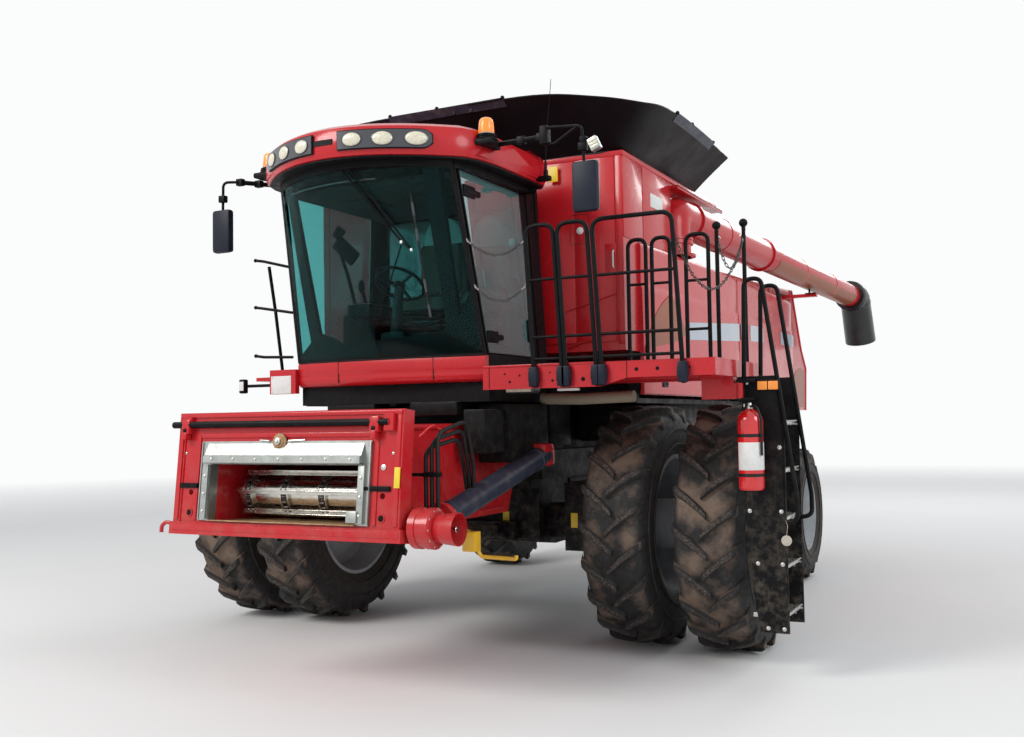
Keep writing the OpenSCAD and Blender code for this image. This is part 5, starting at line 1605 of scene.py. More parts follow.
class HARVESTER_OT_cab_front(PieceOperator, bpy.types.Operator):
    """Windshield, wipers, red fascia and the cab's seals"""

    bl_idname = "harvester.cab_front"
    bl_label = "Cab front"

    def execute(self, context):
        body = "machine"
        panes = Shapes()
        closed_loft(
            panes,
            [
                [
                    shield(s * 0.985, t, out)
                    for t, out in (
                        (0.0, 0.004), (0.5, 0.004), (1.0, 0.004), (1.0, -0.002), (0.5, -0.002), (0.0, -0.002)
                    )
                ]
                for s in steps(-1, 1, 40)
            ]
        )
        made = panes.piece("cab_windshield", "glass", body)
        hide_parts("cab_glass")
        panes = Shapes()
        upright_strip(panes, cab_side(-1), [(t, 0.03, 0.9) for t in steps(0.02, 0.975, 6)], -0.002, 0.004)
        panes.block((-0.67, -0.46, 2.8), (0.67, -0.454, 3.56))
        made = panes.piece("cab_side_and_rear_panes", "side glass", body)
        self.frames()
        frit = Shapes()
        foot = [
            (-0.98, 0.035), (-0.688, 0.168), (-0.48, 0.125), (-0.35, 0.072), (-0.163, 0.101), (0.38, 0.117),
            (0.633, 0.133), (0.821, 0.201), (0.98, 0.36)
        ]
        strip(frit, shield, [(s, 0.0, max(0.03, t)) for s, t in foot], -0.012, -0.008)
        strip(frit, shield, [(s, 0.965, 1.0) for s in steps(-0.98, 0.98, 24)], 0.0045, 0.007)
        strip(frit, shield, [(s, 0.0, 0.012) for s in steps(-0.98, 0.98, 24)], 0.0045, 0.007)
        for side in (1, -1):
            upright_strip(
                frit, shield, [(t, side * 0.978, side * 1.0) for t in steps(0.0, 1.0, 8)], 0.0, 0.006
            )
        frit.piece("windshield_borders", "plastic", body)
        line = Shapes()
        strip(line, shield, [(s, 0.914, 0.921) for s in steps(-0.78, 0.33, 14)], 0.001, 0.004)
        line.piece("sun_blind_edge", "lamp panel", body)
        self.wipers(body)
        fascia = Shapes()
        rows = []
        for s in steps(-1.0, 1.0, 40):
            x, y = 0.86 * s, -1.556 + 0.061 * s * s
            outer = [
                (0.02, 2.299), (0.004, 2.293), (0.0, 2.272), (0.0, 2.205), (0.007, 2.188), (0.003, 2.172),
                (0.008, 2.13), (0.026, 2.11), (0.05, 2.105)
            ]
            rows.append(
                [at(x, y + inset, z) for inset, z in outer] + [at(x, -1.44, 2.107), at(x, -1.44, 2.298)]
            )
        made = closed_loft(fascia, rows).piece("cab_front_fascia", "red", body)
        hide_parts("cab_fascia")
        joints = Shapes()
        for x in (-0.43, 0.44):
            y = -1.556 + 0.061 * (x / 0.86) ** 2
            joints.block((x - 0.0025, y - 0.0015, 2.13), (x + 0.0025, y + 0.01, 2.292))
        joints.tube(
            [(x, -1.562 + 0.061 * (x / 0.86) ** 2 + 0.01, 2.303) for x in steps(-0.85, 0.85, 24)], 0.007, 8
        )
        joints.piece("fascia_joints_and_seal", "hose", body)
        self.doors()
        return {"FINISHED"}

    def wipers(self, body):
        arms, bolts, blade, light = Shapes(shield), Shapes(shield), Shapes(shield), Shapes(shield)
        joint = [(0.553, 0.55), (0.475, 0.591)]
        for (s0, t0), (s1, t1) in zip([(0.103, 0.985), (0.019, 0.985)], joint):
            arms.tube([(s0, t0, 0.04), (s1, t1, 0.04)], [0.01, 0.008], 8)
        arms.tube([(*joint[0], 0.04), (*joint[1], 0.04), (0.023, 0.171, 0.022)], [0.008, 0.006, 0.004], 8)
        arms.tube([(-0.02, 0.985, 0.03), (0.14, 0.985, 0.03)], 0.024, 10)
        arms.piece("wiper_arms", "rail", body)
        for s, t in joint:
            bolts.turned((s, t, 0.048), (0.0, 0.0, 1.0), [(0, 0.012), (0.006, 0.012), (0.009, 0.006)], 12)
        bolts.piece("wiper_bolts", "bolt", body)
        path = [(between(0.627, 0.577, k / 10), between(0.855, 0.208, k / 10), 0.014) for k in range(11)]
        blade.tube(path, [0.004] + [0.009] * 9 + [0.004], 8)
        blade.piece("wiper_blade", "hose", body)
        for k in (1, 3, 7, 9):
            light.tube([path[k], path[k + 1]], 0.0105, 8)
        light.piece("wiper_blade_clips", "lamp panel", body)

    def frames(self):
        """Slim posts and bars behind the glass, the rear wall, and the left door's own frame."""
        body = "machine"
        posts = Shapes()
        for side in (1, -1):
            rows = []
            for t in steps(0.0, 1.0, 4):
                z, half = between(*CAB_Z, t), between(*CAB_HALF_WIDTH, t)
                ring = []
                for x, deep in ((0.585, 0.012), (0.69, 0.012), (0.69, 0.06), (0.585, 0.06)):
                    y = (shield(x / half, t) - MACHINE_ZERO).y + deep
                    ring.append(at(side * x, y, z))
                rows.append(ring)
            closed_loft(posts, rows)
            place = cab_side(side)
            upright_strip(posts, place, [(t, 0.004, 0.028) for t in steps(0.0, 1.0, 4)], -0.03, 0.0)
            upright_strip(
                posts, place, [(t, 0.76 if side > 0 else 0.9, 1.0) for t in steps(0.0, 1.0, 4)], -0.05, 0.0
            )
            strip(posts, place, [(u, 0.974, 0.998) for u in (0.004, 0.5, 1.0)], -0.04, -0.003)
            strip(posts, place, [(u, -0.008, 0.008) for u in (0.004, 0.5, 1.0)], -0.04, -0.003)
        # Rear wall round its window, with round corners to the opening
        hole = rounded(
            [(0.0, 2.8), (0.67, 2.8), (0.67, 3.56), (-0.67, 3.56), (-0.67, 2.8), (0.0, 2.8)], 0.09, 6
        )[:-1]
        rim = []
        for p in hole:
            reach = max(abs(p.x) / 0.805, abs(p.y - 3.0) / 0.705)
            z = 3.0 + (p.y - 3.0) / reach
            rim.append(Vector((p.x / reach * (1.04 - 0.04 * (z - 2.3)), z)))
        n = len(hole)
        verts = [at(p.x, y, p.y) for y in (-0.48, CAB_REAR_Y) for line in (hole, rim) for p in line]
        faces = []
        for k in range(n):
            j = (k + 1) % n
            # Front and rear face, then the edges of the hole and of the rim
            for a, b in ((0, n), (2 * n, 3 * n), (0, 2 * n), (n, 3 * n)):
                faces.append((a + k, a + j, b + j, b + k))
        posts.add(verts, faces)
        made = posts.piece("cab_posts_and_rear_wall", "plastic", body)
        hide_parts("cab_frame")
        door = Shapes()
        place = cab_side(1)
        for u0, u1, t0, t1 in ((0.0503, 0.072, 0.01, 0.965), (0.708, 0.752, 0.01, 0.965)):
            upright_strip(door, place, [(t, u0, u1) for t in steps(t0, t1, 4)], -0.032, 0.0)
        for t0, t1 in ((0.01, 0.034), (0.945, 0.965)):
            strip(door, place, [(u, t0, t1) for u in (0.07, 0.4, 0.71)], -0.03, -0.001)
        made = door.piece("cab_door_frame", "plastic", "door")
        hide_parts("cab_door")
        pane = Shapes()
        upright_strip(pane, place, [(t, 0.056, 0.746) for t in steps(0.014, 0.961, 8)], 0.001, 0.006)
        made = pane.piece("cab_door_pane", "side glass", "door")
        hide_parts("door_glass")

    def doors(self):
        """Window seals of both sides, the left door's hinges and handle, and the rear posts."""
        for body, side, name in (("door", 1, "cab_door_trim"), ("machine", -1, "cab_right_side_trim")):
            place = cab_side(side)
            trim = Shapes(place)
            rear = 0.752 if side > 0 else 0.905
            ring = [
                (0.052, 0.012), (0.052, 0.5), (0.052, 0.963), (rear, 0.963), (rear, 0.5), (rear, 0.012),
                (0.4, 0.012)
            ]
            trim.tube([(u, t, 0.003) for u, t in ring], 0.006, 8, ring=True)
            trim.piece(name, "hose", body)
        metal = Shapes()
        for t in (0.1, 0.86):
            p = cab_side(1)(0.065, t, 0.0) - MACHINE_ZERO
            metal.block(p + Vector((-0.004, -0.01, -0.045)), p + Vector((0.02, 0.16, 0.045)), 0.012)
            metal.block(p + Vector((-0.004, 0.02, -0.022)), p + Vector((0.026, 0.23, 0.022)), 0.01)
        p = cab_side(1)(0.705, 0.16, 0.0) - MACHINE_ZERO
        metal.block(p + Vector((0.0, -0.03, -0.09)), p + Vector((0.02, 0.03, 0.09)), 0.008)
        metal.tube(
            [
                p + Vector((0.014, 0, -0.07)), p + Vector((0.045, 0, -0.055)), p + Vector((0.045, 0, 0.055)),
                p + Vector((0.014, 0, 0.07))
            ],
            0.008, 8, bend=0.02
        )
        metal.piece("cab_door_hinges_and_handle", "rail", "door")
        posts = Shapes()
        for side in (1, -1):
            place = cab_side(side)
            first = 0.84 if side > 0 else 0.935
            upright_strip(
                posts, place, [(t, first, first + 0.05) for t in steps(0.01, 0.98, 3)], -0.001, 0.012
            )
        posts.piece("cab_rear_posts", "plastic", "machine")


def cushion(name, low, high, bulge, body):
    """A padded block, blown up as cloth and capped."""
    made = Shapes().block(low, high, 0.04).piece(name, "cloth", body)
    even = made.modifiers.new("even", "REMESH")
    even.mode = "VOXEL"
    even.voxel_size = 0.008
    bake(made)
    start = [v.co.copy() for v in made.data.vertices]
    cloth = made.modifiers.new("padding", "CLOTH")
    cloth.settings.use_pressure = True
    cloth.settings.uniform_pressure_force = 4.0
    cloth.settings.effector_weights.gravity = 0.0
    cloth.point_cache.frame_end = 20
    for number in range(1, 21):
        bpy.context.scene.frame_set(number)
    bake(made)
    bpy.context.scene.frame_set(1)
    for v, was in zip(made.data.vertices, start):
        move = v.co - was
        if move.length > bulge:
            v.co = was + move.normalized() * bulge
    made.data.shade_smooth()
    return made


def bake(made):
    """Applies a piece's modifiers to its mesh."""
    bpy.context.view_layer.update()
    shaped = bpy.data.meshes.new_from_object(made.evaluated_get(bpy.context.evaluated_depsgraph_get()))
    made.modifiers.clear()
    made.data = shaped


class HARVESTER_OT_cab_inside(PieceOperator, bpy.types.Operator):
    """Seat, steering wheel, screen, consoles and lining seen through the glass"""

    bl_idname = "harvester.cab_inside"
    bl_label = "Cab inside"

    def execute(self, context):
        body = "machine"
        seat = cushion("seat_cushion", (-0.245, -1.105, 2.715), (0.245, -0.6, 2.815), 0.016, body)
        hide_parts("seat")
        for name, low, high in (
            ("seat_back", (-0.205, -0.69, 2.845), (0.235, -0.575, 3.34)),
            ("seat_head", (-0.12, -0.675, 3.365), (0.16, -0.595, 3.49)),
            ("second_seat_cushion", (0.34, -0.96, 2.76), (0.64, -0.64, 2.84)),
            ("second_seat_back", (0.35, -0.65, 2.87), (0.62, -0.575, 3.33)),
        ):
            made = cushion(name, low, high, 0.016, body)
        piping = Shapes()
        for ring in (
            [
                (0.0, -1.085, 2.818), (0.225, -1.085, 2.818), (0.225, -0.72, 2.818), (-0.225, -0.72, 2.818),
                (-0.225, -1.085, 2.818), (0.0, -1.085, 2.818)
            ],
            [
                (0.015, -0.697, 2.88), (0.205, -0.697, 2.88), (0.205, -0.697, 3.305), (-0.175, -0.697, 3.305),
                (-0.175, -0.697, 2.88), (0.015, -0.697, 2.88)
            ],
        ):
            piping.tube(rounded(ring, 0.06, 6)[:-1], 0.006, 8, ring=True)
        piping.piece("seat_piping", "lining", body)
        cover = Shapes()
        for x, wide, foot, top in ((0.037, 0.183, 3.3, 3.526), (0.48, 0.16, 3.245, 3.5)):
            rows = []
            for y, share in ((-0.715, 0.9), (-0.7, 1.0), (-0.57, 1.0), (-0.555, 0.9)):
                arch = [
                    at(
                        x + wide * share * math.cos(a), y + 0.004 * math.sin(5 * a),
                        foot + (top - foot) * share * math.sin(a) ** 0.8
                    )
                    for a in steps(0.0, math.pi, 24)
                ]
                rows.append(
                    arch + [
                        at(x - wide * share * 0.6, y, foot - 0.004),
                        at(x + wide * share * 0.6, y, foot - 0.004)
                    ]
                )
            closed_loft(cover, rows)
        rng = random.Random(5)
        rows = [
            [
                at(
                    x + rng.uniform(-0.01, 0.01), y + rng.uniform(-0.01, 0.01),
                    2.33 + rng.uniform(0.0, 0.1) * (1 - abs(x + 0.4) / 0.24)
                )
                for x in steps(-0.62, -0.18, 16)
            ]
            for y in steps(-1.46, -1.28, 7)
        ]
        cover.sheet(rows)
        cover.piece("seat_clear_covers", "cover", body)
        black = Shapes()
        black.block((-0.22, -1.05, 2.295), (0.22, -0.66, 2.46), 0.03)
        for k in range(5):
            black.block((-0.19, -1.02, 2.455 + k * 0.048), (0.19, -0.69, 2.497 + k * 0.048), 0.02)
        black.block((-0.26, -1.1, 2.69), (0.26, -0.58, 2.722), 0.012)
        for x in (-0.05, 0.09):
            black.tube([(x, -0.635, 3.3), (x, -0.635, 3.4)], 0.008, 8)
        black.block((0.345, -0.955, 2.6), (0.635, -0.6, 2.765), 0.02)
        # Arm console on the right, its lever, the screen and its stand
        black.block((-0.56, -1.25, 2.655), (-0.33, -0.64, 2.785), 0.035)
        black.block((-0.52, -1.1, 2.295), (-0.38, -0.8, 2.66), 0.02)
        black.tube([(-0.44, -1.14, 2.78), (-0.45, -1.18, 2.9)], [0.018, 0.014], 12)
        black.ball((-0.45, -1.19, 2.93), 0.036, (0.8, 0.8, 1.5), 14, 8)
        black.tube([(-0.5, -1.2, 2.76), (-0.515, -1.29, 3.02), (-0.565, -1.3, 3.17)], 0.016, 10, bend=0.08)
        for x, z, wide, tall in ((-0.52, 3.215, 0.125, 0.062), (-0.59, 3.365, 0.04, 0.05)):
            screen = Shapes(
                lambda a, b, c, x=x, z=z: at(x + a * 0.74 + c * 0.67, -1.3 + b, z - a * 0.67 + c * 0.74)
            )
            screen.block((-wide, -0.018, -tall), (wide, 0.018, tall), 0.012)
            black.add(screen.verts, screen.faces)
        # Steering column, wheel and pedals
        black.block((-0.11, -1.43, 2.295), (0.11, -1.33, 2.52), 0.03)
        black.tube([(0.0, -1.385, 2.35), (0.0, -1.36, 2.62), (0.0, -1.3, 2.9)], [0.055, 0.042, 0.034], 16)
        tilt = Shapes(lambda a, b, c: at(a, -1.3 + b * 0.819 + c * 0.574, 2.905 - b * 0.574 + c * 0.819))
        tilt.tube(
            [
                (0.195 * math.cos(2 * math.pi * k / 40), 0.195 * math.sin(2 * math.pi * k / 40), 0.0)
                for k in range(40)
            ],
            0.014, 10, ring=True
        )
        for a in (90, 210, 330):
            c, s = math.cos(math.radians(a)), math.sin(math.radians(a))
            tilt.tube([(0.03 * c, 0.03 * s, -0.014), (0.19 * c, 0.19 * s, 0.0)], [0.014, 0.01], 8)
        tilt.turned((0, 0, -0.035), (0, 0, 1), [(0, 0.045), (0.03, 0.048), (0.042, 0.035), (0.044, 0.0)], 24)
        black.add(tilt.verts, tilt.faces)
        for x in (-0.2, 0.17, 0.25):
            black.block((x - 0.03, -1.46, 2.36), (x + 0.03, -1.4, 2.45), 0.008)
            black.tube([(x, -1.4, 2.4), (x, -1.34, 2.31)], 0.008, 8)
        made = black.piece("cab_controls_and_screen", "plastic", body)
        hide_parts("cab_controls")
        lining = Shapes()
        lining.block((-0.8, -1.44, 2.288), (0.8, -0.48, 2.3), 0.0)
        lining.block((-0.78, -0.51, 2.3), (0.78, -0.482, 2.78), 0.01)
        lining.block((-0.7, -1.75, 3.575), (0.7, -0.5, 3.64), 0.025)
        lining.block((-0.805, -0.98, 2.3), (-0.6, -0.5, 2.74), 0.04)
        lining.block((0.4, -0.86, 2.3), (0.74, -0.5, 2.72), 0.05)
        for x in (-0.28, 0.28):
            lining.block((x - 0.12, -1.5, 3.56), (x + 0.12, -1.1, 3.585), 0.01)
        lining.piece("cab_lining", "lining", body)
        bars = Shapes()
        for k in range(3):
            x = 0.44 + 0.12 * k
            bars.tube(
                [
                    (x, -0.545, 2.72), (x, -0.55, 3.02 - 0.03 * k), (x + 0.1, -0.55, 3.02 - 0.03 * k),
                    (x + 0.1, -0.545, 2.72)
                ],
                0.012, 10, bend=0.045
            )
        bars.piece("cab_grab_hoops", "rail", body)
        return {"FINISHED"}


# Rails and ladder


RAIL_FOOT_SHIFT = 0.06
CHAINS = [
    # one end, other end, sag
    ((0.832, -1.585, 2.8), (1.23, -1.55, 2.78), 0.11),
    ((0.813, -1.659, 3.13), (1.23, -1.55, 3.11), 0.11),
    ((2.33, -1.55, 3.08), (2.5, -0.365, 3.18), 0.4),
    ((2.29, -0.365, 3.22), (2.5, -0.365, 3.22), 0.27),
]


def link_chain(shapes, a, b, sag, pitch=0.03, wire=0.0032):
    """Oval links, each turned a quarter from the one before, along a hanging curve."""
    a, b = Vector(a), Vector(b)
    line = [a.lerp(b, t) - Vector((0, 0, 4 * sag * t * (1 - t))) for t in steps(0.0, 1.0, 60)]
    walked = [0.0]
    for p, q in zip(line, line[1:]):
        walked.append(walked[-1] + (q - p).length)
    count = max(2, round(walked[-1] / pitch))
    for k in range(count):
        goal = walked[-1] * (k + 0.5) / count
        i = max(j for j in range(60) if walked[j] <= goal)
        along = (line[i + 1] - line[i]).normalized()
        centre = line[i].lerp(line[i + 1], (goal - walked[i]) / max(1e-9, walked[i + 1] - walked[i]))
        across = along.cross(Vector((0.3, 0.9, 0.1))).normalized()
        if k % 2:
            across = along.cross(across)
        oval = []
        for j in range(12):
            turn = 2 * math.pi * j / 12
            oval.append(centre + along * (0.0205 * math.cos(turn)) + across * (0.0105 * math.sin(turn)))
        shapes.tube(oval, wire, 6, ring=True)
    return shapes


class HARVESTER_OT_rails(PieceOperator, bpy.types.Operator):
    """Handrail hoops with their mid rails and clamps, ball posts, safety chains and beam details"""

    bl_idname = "harvester.rails"
    bl_label = "Handrails"

    def execute(self, context):
        body = "machine"
        rails, thin, clamps = Shapes(), Shapes(), Shapes()
        r = sizes().rail_radius
        for x0, x1 in ((1.23, 1.45), (1.48, 1.71), (1.75, 2.33)):
            def lean(x, z):
                return (x + RAIL_FOOT_SHIFT * (3.2 - z) / 1.15, -1.552, z)
            rails.tube(
                [lean(x0, 2.045), lean(x0, 3.2), lean(x1, 3.2), lean(x1, 2.045)], r, 14, bend=0.085, steps=8
            )
            for z in (2.245, 2.4, 2.81):
                thin.tube([lean(x0, z), lean(x1, z)], r * 0.72, 10)
            for x in (x0, x1):
                x = lean(x, 2.12)[0]
                clamps.block((x - 0.031, -1.582, 2.05), (x + 0.031, -1.528, 2.19), 0.008)
                clamps.block((x - 0.038, -1.575, 2.085), (x + 0.038, -1.534, 2.16), 0.006)
        for x0, x1 in ((1.56, 1.71), (1.76, 1.91), (2.04, 2.22)):
            rails.tube(
                [(x0, -0.365, 2.2), (x0, -0.365, 3.24), (x1, -0.365, 3.24), (x1, -0.365, 2.2)], r, 14,
                bend=0.07, steps=8
            )
            for z in (2.5, 2.88):
                thin.tube([(x0, -0.365, z), (x1, -0.365, z)], r * 0.72, 10)
            for x in (x0, x1):
                clamps.block((x - 0.03, -0.395, 2.2), (x + 0.03, -0.335, 2.212), 0.003)
        for x in (2.29, 2.5):
            rails.tube([(x, -0.365, 2.2), (x, -0.365, 3.27)], r, 14)
            rails.ball((x, -0.365, 3.29), 0.033)
            clamps.block((x - 0.034, -0.399, 2.2), (x + 0.034, -0.331, 2.214), 0.003)
        rails.tube([(-1.27, -1.18, 2.2), (-1.25, -1.3, 2.75), (-1.235, -1.4, 3.13)], 0.014, 12)
        for z0, z1 in ((3.185, 3.095), (2.79, 2.725), (2.385, 2.36)):
            rails.tube(
                [(-1.345, -1.44, z0), (-1.27, -1.43, z0 - 0.012), (-0.96, -1.44, z1)], 0.012, 10, bend=0.05
            )
            rails.ball((-1.345, -1.44, z0), 0.016)
        made = rails.piece("handrail_tubes", "rail", body)
        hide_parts("handrails")
        thin.piece("handrail_mid_rails", "rail", body)
        clamps.piece("handrail_clamps", "mirror shell", body)
        chains, hooks = Shapes(), Shapes()
        for a, b, sag in CHAINS:
            link_chain(chains, a, b, sag)
            for end, other in ((a, b), (b, a)):
                way = (Vector(other) - Vector(end)).normalized()
                down = Vector(end) + way * 0.03 - Vector((0, 0, 0.03))
                hooks.tube(
                    [
                        Vector(end) + Vector((0, 0, 0.008)), Vector(end) - Vector((0, 0, 0.01)) + way * 0.004,
                        down
                    ],
                    0.0065, 8, bend=0.01
                )
        chains.piece("safety_chains", "chain steel", body)
        hooks.piece("safety_chain_hooks", "bolt", body)
        self.beam(body)
        return {"FINISHED"}

    def beam(self, body):
        """Seams, holes and plates of the platform's front beam, the deck's tread and the ladder's lamp."""
        dark, bright, red = Shapes(), Shapes(), Shapes()
        for x in (0.912, 1.98):
            dark.block((x - 0.002, -1.5325, 2.05), (x + 0.002, -1.529, 2.208))
        for x, z, q in (
            (1.04, 2.15, 0.007), (1.08, 2.092, 0.009), (1.16, 2.135, 0.007), (1.4, 2.15, 0.006),
            (1.42, 2.092, 0.009), (1.655, 2.095, 0.015), (2.05, 2.15, 0.013), (2.2, 2.15, 0.013),
            (2.42, 2.15, 0.01)
        ):
            dark.turned((x, -1.5305, z), (0, -1, 0), [(0, q), (0.002, q)], 16)
        # Ridges pressed in the deck
        for y in steps(-1.44, -0.4, 18):
            red.block((0.9, y - 0.006, 2.198), (2.54, y + 0.006, 2.2035), 0.002)
        red.block((0.862, -1.536, 2.198), (1.78, -1.486, 2.214), 0.004)
        dark.block((-1.4, -1.522, 2.12), (-1.124, -1.508, 2.145), 0.004)
        dark.block((-1.44, -1.545, 2.073), (-1.38, -1.495, 2.19), 0.012)
        bright.block((-1.432, -1.549, 2.095), (-1.388, -1.543, 2.17), 0.004)
        bright.block((1.44, -1.5, 2.018), (1.6, -1.462, 2.036), 0.004)
        dark.piece("platform_holes_and_lamp", "rail", body)
        bright.piece("platform_brackets", "label", body)
        made = red.piece("platform_tread", "red", body)
        plate = Shapes()
        plate.block((-1.108, -1.5345, 2.06), (-0.905, -1.529, 2.204), 0.002)
        for x in (-1.095, -0.918):
            for z in (2.075, 2.19):
                plate.bolt((x, -1.5345, z), (0, -1, 0), 0.006, 0.004)
        plate.piece("blank_plate_front", "label", body)
        frame = Shapes().block((2.728, -0.986, 1.99), (2.882, -0.961, 2.068), 0.005)
        frame.piece("ladder_lamp_frame", "black", "swing_ladder")
        lenses = Shapes()
        for x in (2.768, 2.842):
            lenses.block((x - 0.034, -0.993, 1.999), (x + 0.034, -0.97, 2.059), 0.005)
        lenses.piece("ladder_lamp_lenses", "amber", "swing_ladder")


class HARVESTER_OT_ladder(PieceOperator, bpy.types.Operator):
    """Swinging ladder with its side plates, treads and rails, and the extinguisher beside it"""

    bl_idname = "harvester.ladder"
    bl_label = "Ladder"

    def execute(self, context):
        body = "swing_ladder"
        plates, treads, rails, bolts = Shapes(), Shapes(), Shapes(), Shapes()
        outline = [(2.62, 2.095), (2.86, 2.095), (2.9, 1.7), (2.9, 0.33), (2.71, 0.33), (2.62, 0.9)]
        upper = [(2.632, 2.085), (2.852, 2.085), (2.888, 1.7), (2.888, 1.13), (2.632, 1.13)]
        for y, way in ((-0.96, -1), (-0.508, 1)):
            plates.prism([(x, z) for x, z in outline], 1, y, y + 0.008)
            face = y if way < 0 else y + 0.008
            plates.prism(upper, 1, min(face, face + way * 0.005), max(face, face + way * 0.005))
            for x, z in (
                (2.652, 2.05), (2.84, 2.05), (2.652, 1.6), (2.87, 1.6), (2.652, 1.16), (2.87, 1.16),
                (2.7, 0.8), (2.87, 0.8), (2.76, 0.36), (2.87, 0.36)
            ):
                bolts.bolt((x, face + way * 0.005, z), (0, way, 0), 0.011, 0.009)
            # Folded edges that stiffen the plates
            edge = [(x, face, z) for x, z in outline]
            plates.tube(edge, 0.006, 8, ring=True)
        for z in (1.925, 2.053):
            plates.block((2.6, -1.046, z), (2.72, -0.938, z + 0.022), 0.004)
        plates.turned(
            (2.62, -1.025, 1.916), (0, 0, 1), [(0, 0.01), (0.165, 0.01), (0.167, 0.015), (0.175, 0.015)], 14
        )
        for z in (0.43, 0.76, 1.09, 1.42, 1.75):
            for k in range(5):
                x = 2.655 + k * 0.049
                treads.block((x, -0.952, z + 0.004), (x + 0.036, -0.508, z + 0.03), 0.004)
            for y in (-0.945, -0.735, -0.525):
                treads.block((2.652, y, z), (2.898, y + 0.012, z + 0.012), 0.0)
            for n in range(11):
                treads.block(
                    (2.886, -0.94 + n * 0.04, z + 0.026), (2.899, -0.922 + n * 0.04, z + 0.036), 0.003
                )
        for y in (-0.962, -0.498):
            rails.tube(
                [
                    (2.63, y, 1.9), (2.65, y, 2.78), (2.77, y, 2.78), (2.98, y, 1.25), (2.98, y, 1.1),
                    (2.885, y, 1.08)
                ],
                sizes().rail_radius, 14, bend=0.06, steps=8
            )
            rails.block((2.625, y - 0.022, 1.93), (2.668, y + 0.022, 1.96), 0.005)
        made = plates.piece("ladder_side_plates", "black", body)
        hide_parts("ladder")
        treads.piece("ladder_treads", "aluminium", body)
        rails.piece("ladder_rails", "rail", body)
        bolts.piece("ladder_bolts", "bolt", body)
        tag = Shapes()
        tag.tube([(2.9, -0.972, 1.1), (2.915, -0.985, 1.06), (2.905, -0.985, 1.0)], 0.0016, 6, bend=0.02)
        tag.turned(
            (2.905, -0.989, 0.965), (0, 1, 0), [(0, 0.03), (0.002, 0.036), (0.006, 0.036), (0.008, 0.03)], 24
        )
        tag.piece("ladder_tag", "tag", body)
        self.extinguisher(body)
        return {"FINISHED"}

    def extinguisher(self, body):
        x, y = 2.7, -1.075
        tank, black, metal = Shapes(), Shapes(), Shapes()
        tank.turned((x, y, 1.31), (0, 0, 1), [
            (0.0, 0.06), (0.003, 0.078), (0.014, 0.086), (0.03, 0.088), (0.47, 0.088), (0.5, 0.084),
            (0.525, 0.07), (0.543, 0.048), (0.552, 0.03), (0.56, 0.024)], 40)
        made = tank.piece("extinguisher_tank", "extinguisher", body)
        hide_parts("fire_extinguisher")
        label = Shapes()
        rows = []
        for a in steps(-145, 5, 20):
            c, s = math.cos(math.radians(a)), math.sin(math.radians(a))
            rows.append([
                at(x + c * q, y + s * q, z)
                for q, z in ((0.0875, 1.45), (0.0888, 1.452), (0.0888, 1.638), (0.0875, 1.64))
            ])
        closed_loft(label, rows).piece("extinguisher_blank_label", "label", body)
        metal.turned(
            (x, y, 1.865), (0, 0, 1),
            [(0, 0.022), (0.02, 0.022), (0.024, 0.016), (0.044, 0.014), (0.046, 0.0)], 18
        )
        metal.turned((x - 0.03, y - 0.006, 1.89), (-1, 0, 0), [(0, 0.014), (0.008, 0.015), (0.01, 0.0)], 16)
        metal.piece("extinguisher_valve", "bolt", body)
        black.turned((x, y, 1.405), (0, 0, 1), [(0, 0.0895), (0.022, 0.0895)], 40)
        black.turned((x, y, 1.675), (0, 0, 1), [(0, 0.0895), (0.022, 0.0895)], 40)
        black.block((x - 0.04, -0.995, 1.48), (x + 0.04, -0.96, 1.52), 0.004)
        black.block((x - 0.03, -0.992, 1.38), (x + 0.03, -0.98, 1.72), 0.004)
        black.tube(
            [
                (x + 0.01, y - 0.018, 1.885), (x + 0.06, y - 0.05, 1.885), (x + 0.088, y - 0.052, 1.8),
                (x + 0.088, y - 0.05, 1.55)
            ],
            0.009, 10, bend=0.05
        )
        black.tube([(x, y, 1.9), (x - 0.075, y - 0.004, 1.906)], [0.008, 0.006], 8)
        black.tube([(x, y, 1.872), (x - 0.062, y - 0.004, 1.862)], [0.008, 0.006], 8)
        black.piece("extinguisher_straps_and_hose", "hose", body)


# Feeder house


